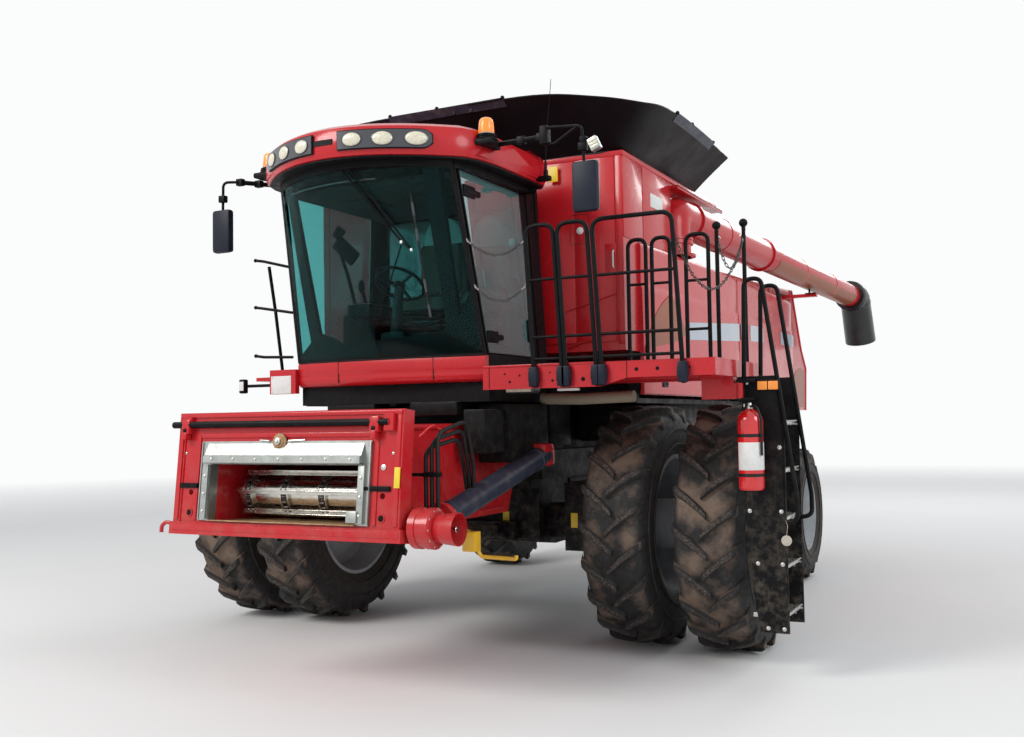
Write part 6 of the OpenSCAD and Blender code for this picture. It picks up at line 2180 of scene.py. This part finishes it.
class HARVESTER_OT_feeder(PieceOperator, bpy.types.Operator):
    """Feeder drum with its chain, the header face's fittings, and the header drive on the left side"""

    bl_idname = "harvester.feeder"
    bl_label = "Feeder house"

    def execute(self, context):
        body = "feeder"
        self.drum(body)
        self.face(body)
        self.drive(body)
        return {"FINISHED"}

    def drum(self, body):
        y0, z0 = -2.4, 1.33
        steel, chain, slats = Shapes(), Shapes(), Shapes()
        steel.turned(
            (-0.62, y0, z0), (1, 0, 0),
            [
                (0, 0.044), (0.06, 0.044), (0.061, 0.118), (0.07, 0.121), (1.17, 0.121), (1.179, 0.118),
                (1.18, 0.044), (1.24, 0.044)
            ],
            40
        )
        for x in (-0.48, -0.16, 0.16, 0.48):
            for side in (-1, 1):
                steel.turned((x + side * 0.03 - 0.004, y0, z0), (1, 0, 0), [(0, 0.14), (0.008, 0.14)], 40)
            run = []
            for k in range(15):
                a = math.radians(-90 - 180 * k / 14)
                run.append((y0 + 0.138 * math.cos(a), z0 + 0.138 * math.sin(a)))
            loop = [(-1.0, 1.215)] + run + [(-1.0, 1.635)]
            line = [Vector((x, y, z)) for y, z in loop]
            walked = [0.0]
            for p, q in zip(line, line[1:]):
                walked.append(walked[-1] + (q - p).length)
            count = round(walked[-1] / 0.04)
            for n in range(count):
                ends = []
                for goal in (walked[-1] * (n + 0.06) / count, walked[-1] * (n + 0.94) / count):
                    i = max(j for j in range(len(line) - 1) if walked[j] <= goal)
                    ends.append(line[i].lerp(line[i + 1], (goal - walked[i]) / (walked[i + 1] - walked[i])))
                out = 0.011 if n % 2 else 0.017
                for side in (-1, 1):
                    shift = Vector((side * out, 0, 0))
                    chain.tube([ends[0] + shift, ends[1] + shift], 0.0065, 6)
                chain.turned(
                    tuple(ends[0] - Vector((0.019, 0, 0))), (1, 0, 0), [(0, 0.0085), (0.038, 0.0085)], 8
                )
        for k, a in enumerate(range(20, 380, 60)):
            turn = math.radians(a)
            away = Vector((0, -math.sin(turn), math.cos(turn)))
            round_way = Vector((0, math.cos(turn), math.sin(turn)))

            def tooth_place(x, u, v, away=away, round_way=round_way):
                return at(x, y0 + away.y * v + round_way.y * u, z0 + away.z * v + round_way.z * u)

            place = Shapes(tooth_place)
            place.block((-0.545, -0.022, 0.146), (0.545, 0.022, 0.153), 0.002)
            place.block((-0.545, -0.004, 0.15), (0.545, 0.004, 0.176), 0.002)
            for x in (-0.5, -0.46, -0.18, -0.14, 0.14, 0.18, 0.46, 0.5):
                place.turned((x, 0.013, 0.152), (0, 0, 1), [(0, 0.008), (0.008, 0.008)], 6)
            slats.add(place.verts, place.faces)
        made = steel.piece("feeder_drum", "drum", body)
        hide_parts("feeder_chain")
        chain.piece("feeder_chain_links", "chain steel", body)
        slats.piece("feeder_slats", "drum", body)
        floor = Shapes()
        rng = random.Random(11)
        rows = []
        for x in steps(-0.615, 0.615, 60):
            lip = rng.uniform(-0.012, 0.006)
            rows.append([
                at(x, y, z)
                for y, z in (
                    (-2.805 + lip, 1.166), (-2.8 + lip, 1.172), (-2.6, 1.153), (-2.3, 1.146), (-2.3, 1.14),
                    (-2.6, 1.146)
                )
            ])
        closed_loft(floor, rows).piece("feeder_floor_lip", "rusty", body)

    def face(self, body):
        red, black, bright, trim = Shapes(on_face), Shapes(on_face), Shapes(on_face), Shapes(on_face)
        # Round latch bar along the top, its end castings and the folded ribs of the plate
        black.tube([(-0.975, -0.03, 0.715), (0.845, -0.03, 0.715)], 0.0235, 18)
        for x in (-0.85, 0.74):
            red.block((x - 0.036, -0.054, 0.65), (x + 0.036, -0.004, 0.752), 0.012)
            red.block((x - 0.02, -0.062, 0.61), (x + 0.02, -0.004, 0.66), 0.008)
            black.turned((x, -0.054, 0.675), (0, -1, 0), [(0, 0.014), (0.006, 0.014), (0.008, 0.0)], 16)
        for x in (-0.905, 0.905):
            black.turned((x, -0.002, 0.742), (0, -1, 0), [(0, 0.022), (0.004, 0.022)], 20)
        for side in (1, -1):
            red.block((side * 0.895, -0.016, 0.06), (side * 0.925, -0.006, 0.79), 0.004)
            red.block((side * 0.735, -0.008, 0.06), (side * 0.76, 0.001, 0.64), 0.003)
        red.block((-0.93, -0.02, 0.765), (0.93, -0.008, 0.792), 0.005)
        red.block((-0.73, -0.01, 0.625), (0.73, 0.001, 0.655), 0.004)
        red.block((-0.945, -0.0235, -0.012), (0.945, -0.019, 0.03), 0.002)
        for side in (1, -1):
            # Slotted latch bars over the two pin holes, and the plain holes below them
            inner, outer = (0.655, 0.86) if side > 0 else (0.73, 0.925)
            black.block((side * inner, -0.014, 0.278), (side * outer, -0.003, 0.312), 0.004)
            black.block((side * inner, -0.026, 0.284), (side * (inner + 0.05), -0.012, 0.306), 0.004)
            black.turned(
                (side * 0.8, -0.001, 0.11), (0, -1, 0), [(0, 0.021), (0.003, 0.021), (0.004, 0.0)], 20
            )
            red.turned(
                (side * 0.8, -0.0005, 0.11), (0, -1, 0),
                [(0, 0.03), (0.006, 0.028), (0.006, 0.021), (0.0, 0.021)], 24, closed=True
            )
            bright.bolt((side * 0.868, -0.001, 0.52), (0, -1, 0), 0.007, 0.006)
        bright.turned(
            (0.8, -0.002, 0.43), (0, -1, 0), [(0, 0.02), (0.004, 0.019), (0.006, 0.01), (0.008, 0.0)], 20
        )
        red.tube(
            [(-0.95, 0.01, 0.03), (-1.02, 0.005, 0.038), (-1.05, 0.0, 0.01), (-1.05, 0.0, -0.035)], 0.014, 10,
            bend=0.03
        )
        # Galvanised apron over the mouth, its channel, the side strips and their bolts
        trim.sheet([
            [on_face(x, y, z) for x in steps(-0.655, 0.655, 12)]
            for y, z in (
                (-0.012, 0.59), (-0.016, 0.58), (-0.05, 0.502), (-0.064, 0.498), (-0.064, 0.452),
                (-0.058, 0.446), (-0.03, 0.446)
            )
        ])
        for side in (1, -1):
            trim.block((side * 0.628, -0.036, 0.07), (side * 0.676, -0.028, 0.44), 0.003)
            trim.block((side * 0.7, -0.022, 0.065), (side * 0.708, -0.012, 0.595), 0.002)
            for z in (0.12, 0.24, 0.36):
                bright.bolt((side * 0.652, -0.036, z), (0, -1, 0), 0.009, 0.008)
        trim.block((0.56, -0.05, 0.075), (0.64, -0.03, 0.15), 0.006)
        for x in steps(-0.58, 0.58, 6):
            bright.bolt((x, -0.064, 0.475), (0, -1, 0), 0.008, 0.007)
        boss = Shapes(on_face)
        boss.turned(
            (-0.03, -0.014, 0.595), (0, -1, 0),
            [(0, 0.056), (0.006, 0.058), (0.014, 0.054), (0.016, 0.042), (0.024, 0.04)], 32
        )
        boss.piece("header_face_boss", "rusty", body)
        bright.turned(
            (-0.03, -0.038, 0.595), (0, -1, 0),
            [(0, 0.026), (0.012, 0.026), (0.016, 0.016), (0.022, 0.014), (0.026, 0.0)], 6
        )
        bright.tube([(-0.2, -0.018, 0.606), (-0.11, -0.026, 0.6)], 0.006, 8)
        bright.tube([(0.05, -0.026, 0.6), (0.18, -0.018, 0.606)], 0.006, 8)
        made = red.piece("header_face_ribs", "red", body)
        black.piece("header_face_latches", "rail", body)
        bright.piece("header_face_bolts", "bolt", body)
        made = trim.piece("mouth_trim", "galvanised", body)
        plate = Shapes(on_face)
        plate.block((0.896, -0.0245, 0.3), (0.936, -0.0165, 0.43), 0.001)
        plate.piece("blank_plate_yellow_face", "yellow label", body)
        strap = Shapes()
        strap.tube([(0.975, -2.6, 1.72), (0.985, -2.45, 1.8), (1.0, -2.2, 1.7)], 0.012, 8, bend=0.12)
        strap.piece("feeder_red_lever", "extinguisher", body)
        ribs = Shapes()
        for side in (1, -1):
            x = side * 0.645
            for y in (-2.2, -1.8, -1.4, -1.0):
                ribs.block((x - side * 0.001, y - 0.02, 1.2), (x + side * 0.022, y + 0.02, 1.74), 0.006)
            ribs.block((x, -2.55, 1.765), (x + side * 0.03, -0.62, 1.798), 0.008)
            ribs.block((x, -2.5, 1.105), (x + side * 0.03, -0.9, 1.14), 0.008)
        made = ribs.piece("feeder_side_ribs", "red", body)

    def drive(self, body):
        box, tube, cone, hoses, bolts = Shapes(), Shapes(), Shapes(), Shapes(), Shapes()
        box.turned((0.98, -2.64, 1.15), (1, 0, 0), [
            (0, 0.118), (0.006, 0.13), (0.052, 0.13), (0.056, 0.122), (0.098, 0.122), (0.102, 0.13),
            (0.146, 0.13), (0.156, 0.112), (0.16, 0.092)], 44)
        box.block((0.65, -2.56, 1.085), (1.01, -2.34, 1.255), 0.03)
        box.block((0.65, -0.9, 1.455), (1.055, -0.72, 1.635), 0.035)
        box.turned(
            (0.98, -2.355, 1.178), (0, 0.974, 0.228),
            [(0, 0.112), (0.03, 0.112), (0.036, 0.096), (0.07, 0.092)], 32
        )
        made = box.piece("header_drive_housing", "red", body)
        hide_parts("header_drive")
        tube.tube([(0.98, -2.34, 1.18), (0.98, -1.6, 1.352), (0.98, -0.8, 1.54)], 0.083, 32)
        for t in (0.06, 0.9):
            p = Vector((0.98, -2.34, 1.18)).lerp(Vector((0.98, -0.8, 1.54)), t)
            tube.turned(
                tuple(p), (0, 0.974, 0.228), [(0, 0.084), (0.004, 0.089), (0.026, 0.089), (0.03, 0.084)], 32
            )
        tube.piece("header_drive_tube", "drive tube", body)
        # Open cone guard round the shaft's end
        cone.turned(
            (1.14, -2.64, 1.15), (1, 0, 0),
            [(0, 0.082), (0.02, 0.09), (0.148, 0.104), (0.15, 0.1), (0.022, 0.086), (0.002, 0.078)], 40,
            closed=True
        )
        cone.piece("drive_cone_guard", "red", body)
        shaft = Shapes()
        shaft.turned(
            (1.15, -2.64, 1.15), (1, 0, 0),
            [(0, 0.04), (0.06, 0.038), (0.062, 0.0175), (0.123, 0.0175), (0.125, 0.0155)], 28
        )
        shaft.piece("header_drive_stub", "chrome", body)
        for k in range(10):
            a = 2 * math.pi * k / 10
            bolts.bolt(
                (1.126, -2.64 + 0.112 * math.cos(a), 1.15 + 0.112 * math.sin(a)), (1, 0, 0), 0.009, 0.01
            )
        for k in range(3):
            path = [
                (0.935 + 0.045 * k, -2.45, 1.2), (0.935 + 0.045 * k, -2.45, 1.64 + 0.05 * k),
                (1.025 + 0.03 * k, -2.18, 1.7 + 0.06 * k), (0.935 + 0.04 * k, -1.96, 1.5),
                (0.935 + 0.02 * k, -1.9, 1.27)
            ]
            hoses.tube(path, 0.0145, 14, bend=0.095, steps=8)
            for end, way in ((path[0], (0, 0, 1)), (path[-1], (0, 0.2, 1))):
                bolts.turned(end, way, [(-0.01, 0.019), (0.028, 0.019), (0.032, 0.016)], 6)
        bolts.piece("header_drive_bolts", "bolt", body)
        hoses.piece("header_drive_hoses", "hose", body)
        clips = Shapes()
        clips.block((0.925, -2.475, 1.46), (1.045, -2.425, 1.49), 0.006)
        clips.block((0.65, -2.46, 1.462), (0.93, -2.44, 1.484), 0.004)
        clips.piece("hose_clips", "rail", body)


# Unloading auger


class HARVESTER_OT_auger(PieceOperator, bpy.types.Operator):
    """Swinging auger tube with its flanges, and the rubber spout on its end"""

    bl_idname = "harvester.auger"
    bl_label = "Unloading auger"

    def execute(self, context):
        body = "auger"
        out, fall = math.radians(5.6), math.radians(2.2)
        way = Vector((math.sin(out) * math.cos(fall), math.cos(out) * math.cos(fall), -math.sin(fall)))
        top = Vector((1.44, 1.1, 3.705))
        tubes, bolts, boot, seams = Shapes(), Shapes(), Shapes(), Shapes()
        tubes.tube([top - Vector((0, 0, 0.25)), top, top + way * 2.35], 0.169, 40, bend=0.2, steps=12)
        tubes.turned(
            tuple(top + way * 2.34), way, [(0, 0.15), (0.01, 0.152), (3.59, 0.152), (3.591, 0.0)], 40
        )
        for s, r in ((0.36, 0.186), (2.35, 0.186)):
            for shift in (-0.014, 0.002):
                tubes.turned(
                    tuple(top + way * (s + shift)), way, [(0, 0.16), (0.0, r), (0.012, r), (0.012, 0.16)], 48
                )
            side = way.orthogonal().normalized()
            other = way.cross(side)
            for k in range(12):
                a = 2 * math.pi * (k + 0.5) / 12
                bolts.bolt(
                    tuple(top + way * (s + 0.014) + (side * math.cos(a) + other * math.sin(a)) * (r - 0.012)),
                    way, 0.009, 0.01
                )
        tubes.turned(
            tuple(top - Vector((0, 0, 0.254))), (0, 0, 1), [(0, 0.192), (0.022, 0.192), (0.024, 0.165)], 44
        )
        for s in (1.1, 3.6, 4.8):
            tubes.turned(
                tuple(top + way * s), way,
                [
                    (0, 0.152), (0.003, 0.1745 if s < 2 else 0.1565), (0.04, 0.1745 if s < 2 else 0.1565),
                    (0.043, 0.152)
                ],
                44
            )
        made = tubes.piece("auger_tubes", "red", body)
        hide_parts("auger_tube")
        bolts.piece("auger_bolts", "bolt", body)
        tip = top + way * 5.9303
        knee = tip + way * 0.26
        fallen = Vector((0.02, 0.24, -0.6))
        path = rounded([tip, knee, knee + fallen], 0.21, 10)
        line = [at(*p) for p in path]
        radii = [0.205 - 0.004 * math.sin(k * 1.9) for k in range(len(line))]
        verts, faces = swept(line, radii, 40, False)
        count = len(verts)
        inner, _ = swept(line, [r - 0.011 for r in radii], 40, False)
        closed = faces + [tuple(count + i for i in reversed(f)) for f in faces]
        for ring in (0, count - 40):
            closed += [
                (ring + k, ring + (k + 1) % 40, count + ring + (k + 1) % 40, count + ring + k)
                for k in range(40)
            ]
        boot.add(verts + inner, closed)
        made = boot.piece("spout_boot", "boot", body)
        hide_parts("auger_spout")
        seams.turned(
            tuple(top + way * 5.895), way, [(0, 0.153), (0.004, 0.203), (0.034, 0.203), (0.034, 0.15)], 48
        )
        seams.turned(
            tuple(tip + way * 0.03), way, [(0, 0.206), (0.001, 0.2085), (0.024, 0.2085), (0.025, 0.206)], 44
        )
        end = knee + fallen
        down = fallen.normalized()
        seams.turned(
            tuple(end - down * 0.05), down, [(0, 0.196), (0.002, 0.2065), (0.03, 0.2065), (0.032, 0.196)], 44,
            closed=True
        )
        seams.piece("spout_bands", "hose", body)
        # Painted reflection: an orange-brown sheet over the underside of the outer tube stands in for the
        # ground reflected in its red paint.
        under = Shapes()
        rows = []
        for s in steps(2.6, 5.7, 10):
            p = top + way * s
            rows.append([
                at(p.x + 0.1565 * math.cos(a), p.y, p.z + 0.1565 * math.sin(a))
                for a in (math.radians(d) for d in steps(-150, -12, 12))
            ])
        under.sheet(rows)
        under.piece("auger_underside_painted_reflection", "swoosh_and_painted_reflection", body)
        return {"FINISHED"}


# Stage


class HARVESTER_OT_stage(PieceOperator, bpy.types.Operator):
    """Pale studio floor, soft lights and the camera at the photograph's angle"""

    bl_idname = "harvester.stage"
    bl_label = "Stage"

    def execute(self, context):
        self.floor()
        self.lights(context.scene)
        self.camera(context.scene)
        settings = context.scene.view_settings
        settings.view_transform = "Standard"
        return {"FINISHED"}

    def floor(self):
        mesh = bpy.data.meshes.new("studio_floor")
        reach = 45.0
        mesh.from_pydata(
            [(-reach, -reach, 0), (reach, -reach, 0), (reach, reach, 0), (-reach, reach, 0)], [],
            [(0, 1, 2, 3)]
        )
        f = Finish("studio floor", tuple(colours().floor), 0.85)
        f.set(Specular_IOR_Level=0.15)
        f.tint(tuple(c * 0.96 for c in colours().floor), f.ramp(f.noise(0.35, 4.0), 0.4, 0.7, 0.0, 0.5))
        spread = f.nodes.new("ShaderNodeVectorMath")
        spread.operation = "LENGTH"
        f.links.new(f.coordinates.outputs["Object"], spread.inputs[0])
        f.links.new(f.ramp(spread.outputs["Value"], 13.0, 30.0, 1.0, 0.0), f.shader.inputs["Alpha"])
        mesh.materials.append(f.done())
        floor = bpy.data.objects.new("studio_floor", mesh)
        bpy.context.scene.collection.objects.link(floor)
        floor.location = (0.0, 0.0, -0.002)

    def lights(self, scene):
        world = bpy.data.worlds.new("studio sky")
        world.use_nodes = True
        nodes, links = world.node_tree.nodes, world.node_tree.links
        nodes.clear()
        out = nodes.new("ShaderNodeOutputWorld")
        seen, lit = nodes.new("ShaderNodeBackground"), nodes.new("ShaderNodeBackground")
        mix = nodes.new("ShaderNodeMixShader")
        seen.inputs["Color"].default_value = (0.97, 0.975, 0.98, 1.0)
        seen.inputs["Strength"].default_value = 1.0
        lit.inputs["Color"].default_value = (0.93, 0.96, 1.0, 1.0)
        lit.inputs["Strength"].default_value = 0.62
        path = nodes.new("ShaderNodeLightPath")
        last = path.outputs["Is Camera Ray"]
        for kind in ("Is Glossy Ray", "Is Transmission Ray"):
            either = nodes.new("ShaderNodeMath")
            either.operation = "MAXIMUM"
            links.new(last, either.inputs[0])
            links.new(path.outputs[kind], either.inputs[1])
            last = either.outputs["Value"]
        links.new(last, mix.inputs["Fac"])
        links.new(lit.outputs["Background"], mix.inputs[1])
        links.new(seen.outputs["Background"], mix.inputs[2])
        links.new(mix.outputs["Shader"], out.inputs["Surface"])
        scene.world = world
        for name, place, size, power, tint in (
            ("key light", (-7.0, -15.0, 11.0), 7.0, 1500.0, (1.0, 0.98, 0.95)),
            ("side light", (14.0, -7.0, 8.0), 7.0, 700.0, (0.95, 0.98, 1.0)),
            ("back light", (3.0, 14.0, 11.0), 8.0, 700.0, (1.0, 1.0, 1.0)),
        ):
            lamp = bpy.data.lights.new(name, "AREA")
            lamp.shape = "DISK"
            lamp.size = size
            lamp.energy = power
            lamp.color = tint
            made = bpy.data.objects.new(name, lamp)
            made.location = place
            aim = Vector((0.0, -1.0, 2.0)) - Vector(place)
            made.rotation_euler = aim.to_track_quat("-Z", "Y").to_euler()
            scene.collection.objects.link(made)

    def camera(self, scene):
        turn, tilt, roll = (math.radians(a) for a in CAMERA_TURNS)
        forward = Vector((math.sin(turn) * math.cos(tilt), math.cos(turn) * math.cos(tilt), math.sin(tilt)))
        right = Vector((math.cos(turn), -math.sin(turn), 0.0))
        up = right.cross(forward)
        across = right * math.cos(roll) + up * math.sin(roll)
        above = up * math.cos(roll) - right * math.sin(roll)
        data = bpy.data.cameras.new("photo camera")
        data.lens = sizes().camera_lens
        data.sensor_width = 36.0
        camera = bpy.data.objects.new("photo camera", data)
        turned = Matrix((across, above, -forward)).transposed().to_4x4()
        camera.matrix_world = Matrix.Translation(at(*CAMERA_PLACE)) @ turned
        scene.collection.objects.link(camera)
        scene.camera = camera


CAMERA_PLACE = (4.62125, -8.35103, 1.81474)
# Turn to the right, tilt upwards and roll, in degrees
CAMERA_TURNS = (-27.3076, 2.7865, -0.9285)


# Panel


class HARVESTER_PT_pieces(bpy.types.Panel):
    """Lists the settings and the pieces of the harvester"""

    bl_idname = "HARVESTER_PT_pieces"
    bl_label = "Combine harvester"
    bl_space_type = "VIEW_3D"
    bl_region_type = "UI"
    bl_category = "Harvester"

    def draw(self, context):
        for group, title in (
            (context.scene.harvester_sizes, "Sizes"), (context.scene.harvester_colours, "Colours")
        ):
            box = self.layout.box()
            box.label(text=title)
            for name in group.__annotations__:
                box.prop(group, name)
        for operator in OPERATORS:
            self.layout.operator(operator.bl_idname)


OPERATORS = [
    HARVESTER_OT_stage,
    HARVESTER_OT_front_wheels,
    HARVESTER_OT_rear_wheels,
    HARVESTER_OT_side_doors,
    HARVESTER_OT_body,
    HARVESTER_OT_tank_extension,
    HARVESTER_OT_cab_roof,
    HARVESTER_OT_cab_front,
    HARVESTER_OT_cab_inside,
    HARVESTER_OT_rails,
    HARVESTER_OT_ladder,
    HARVESTER_OT_feeder,
    HARVESTER_OT_auger,
]
CLASSES = [HarvesterSizes, HarvesterColours, *OPERATORS, HARVESTER_PT_pieces]


def register():
    for made in CLASSES:
        bpy.utils.register_class(made)
    bpy.types.Scene.harvester_sizes = PointerProperty(type=HarvesterSizes)
    bpy.types.Scene.harvester_colours = PointerProperty(type=HarvesterColours)


def unregister():
    del bpy.types.Scene.harvester_colours
    del bpy.types.Scene.harvester_sizes
    for made in reversed(CLASSES):
        bpy.utils.unregister_class(made)


def main():
    register()
    for operator in OPERATORS:
        group, name = operator.bl_idname.split(".")
        getattr(getattr(bpy.ops, group), name)()


if __name__ == "__main__":
    main()
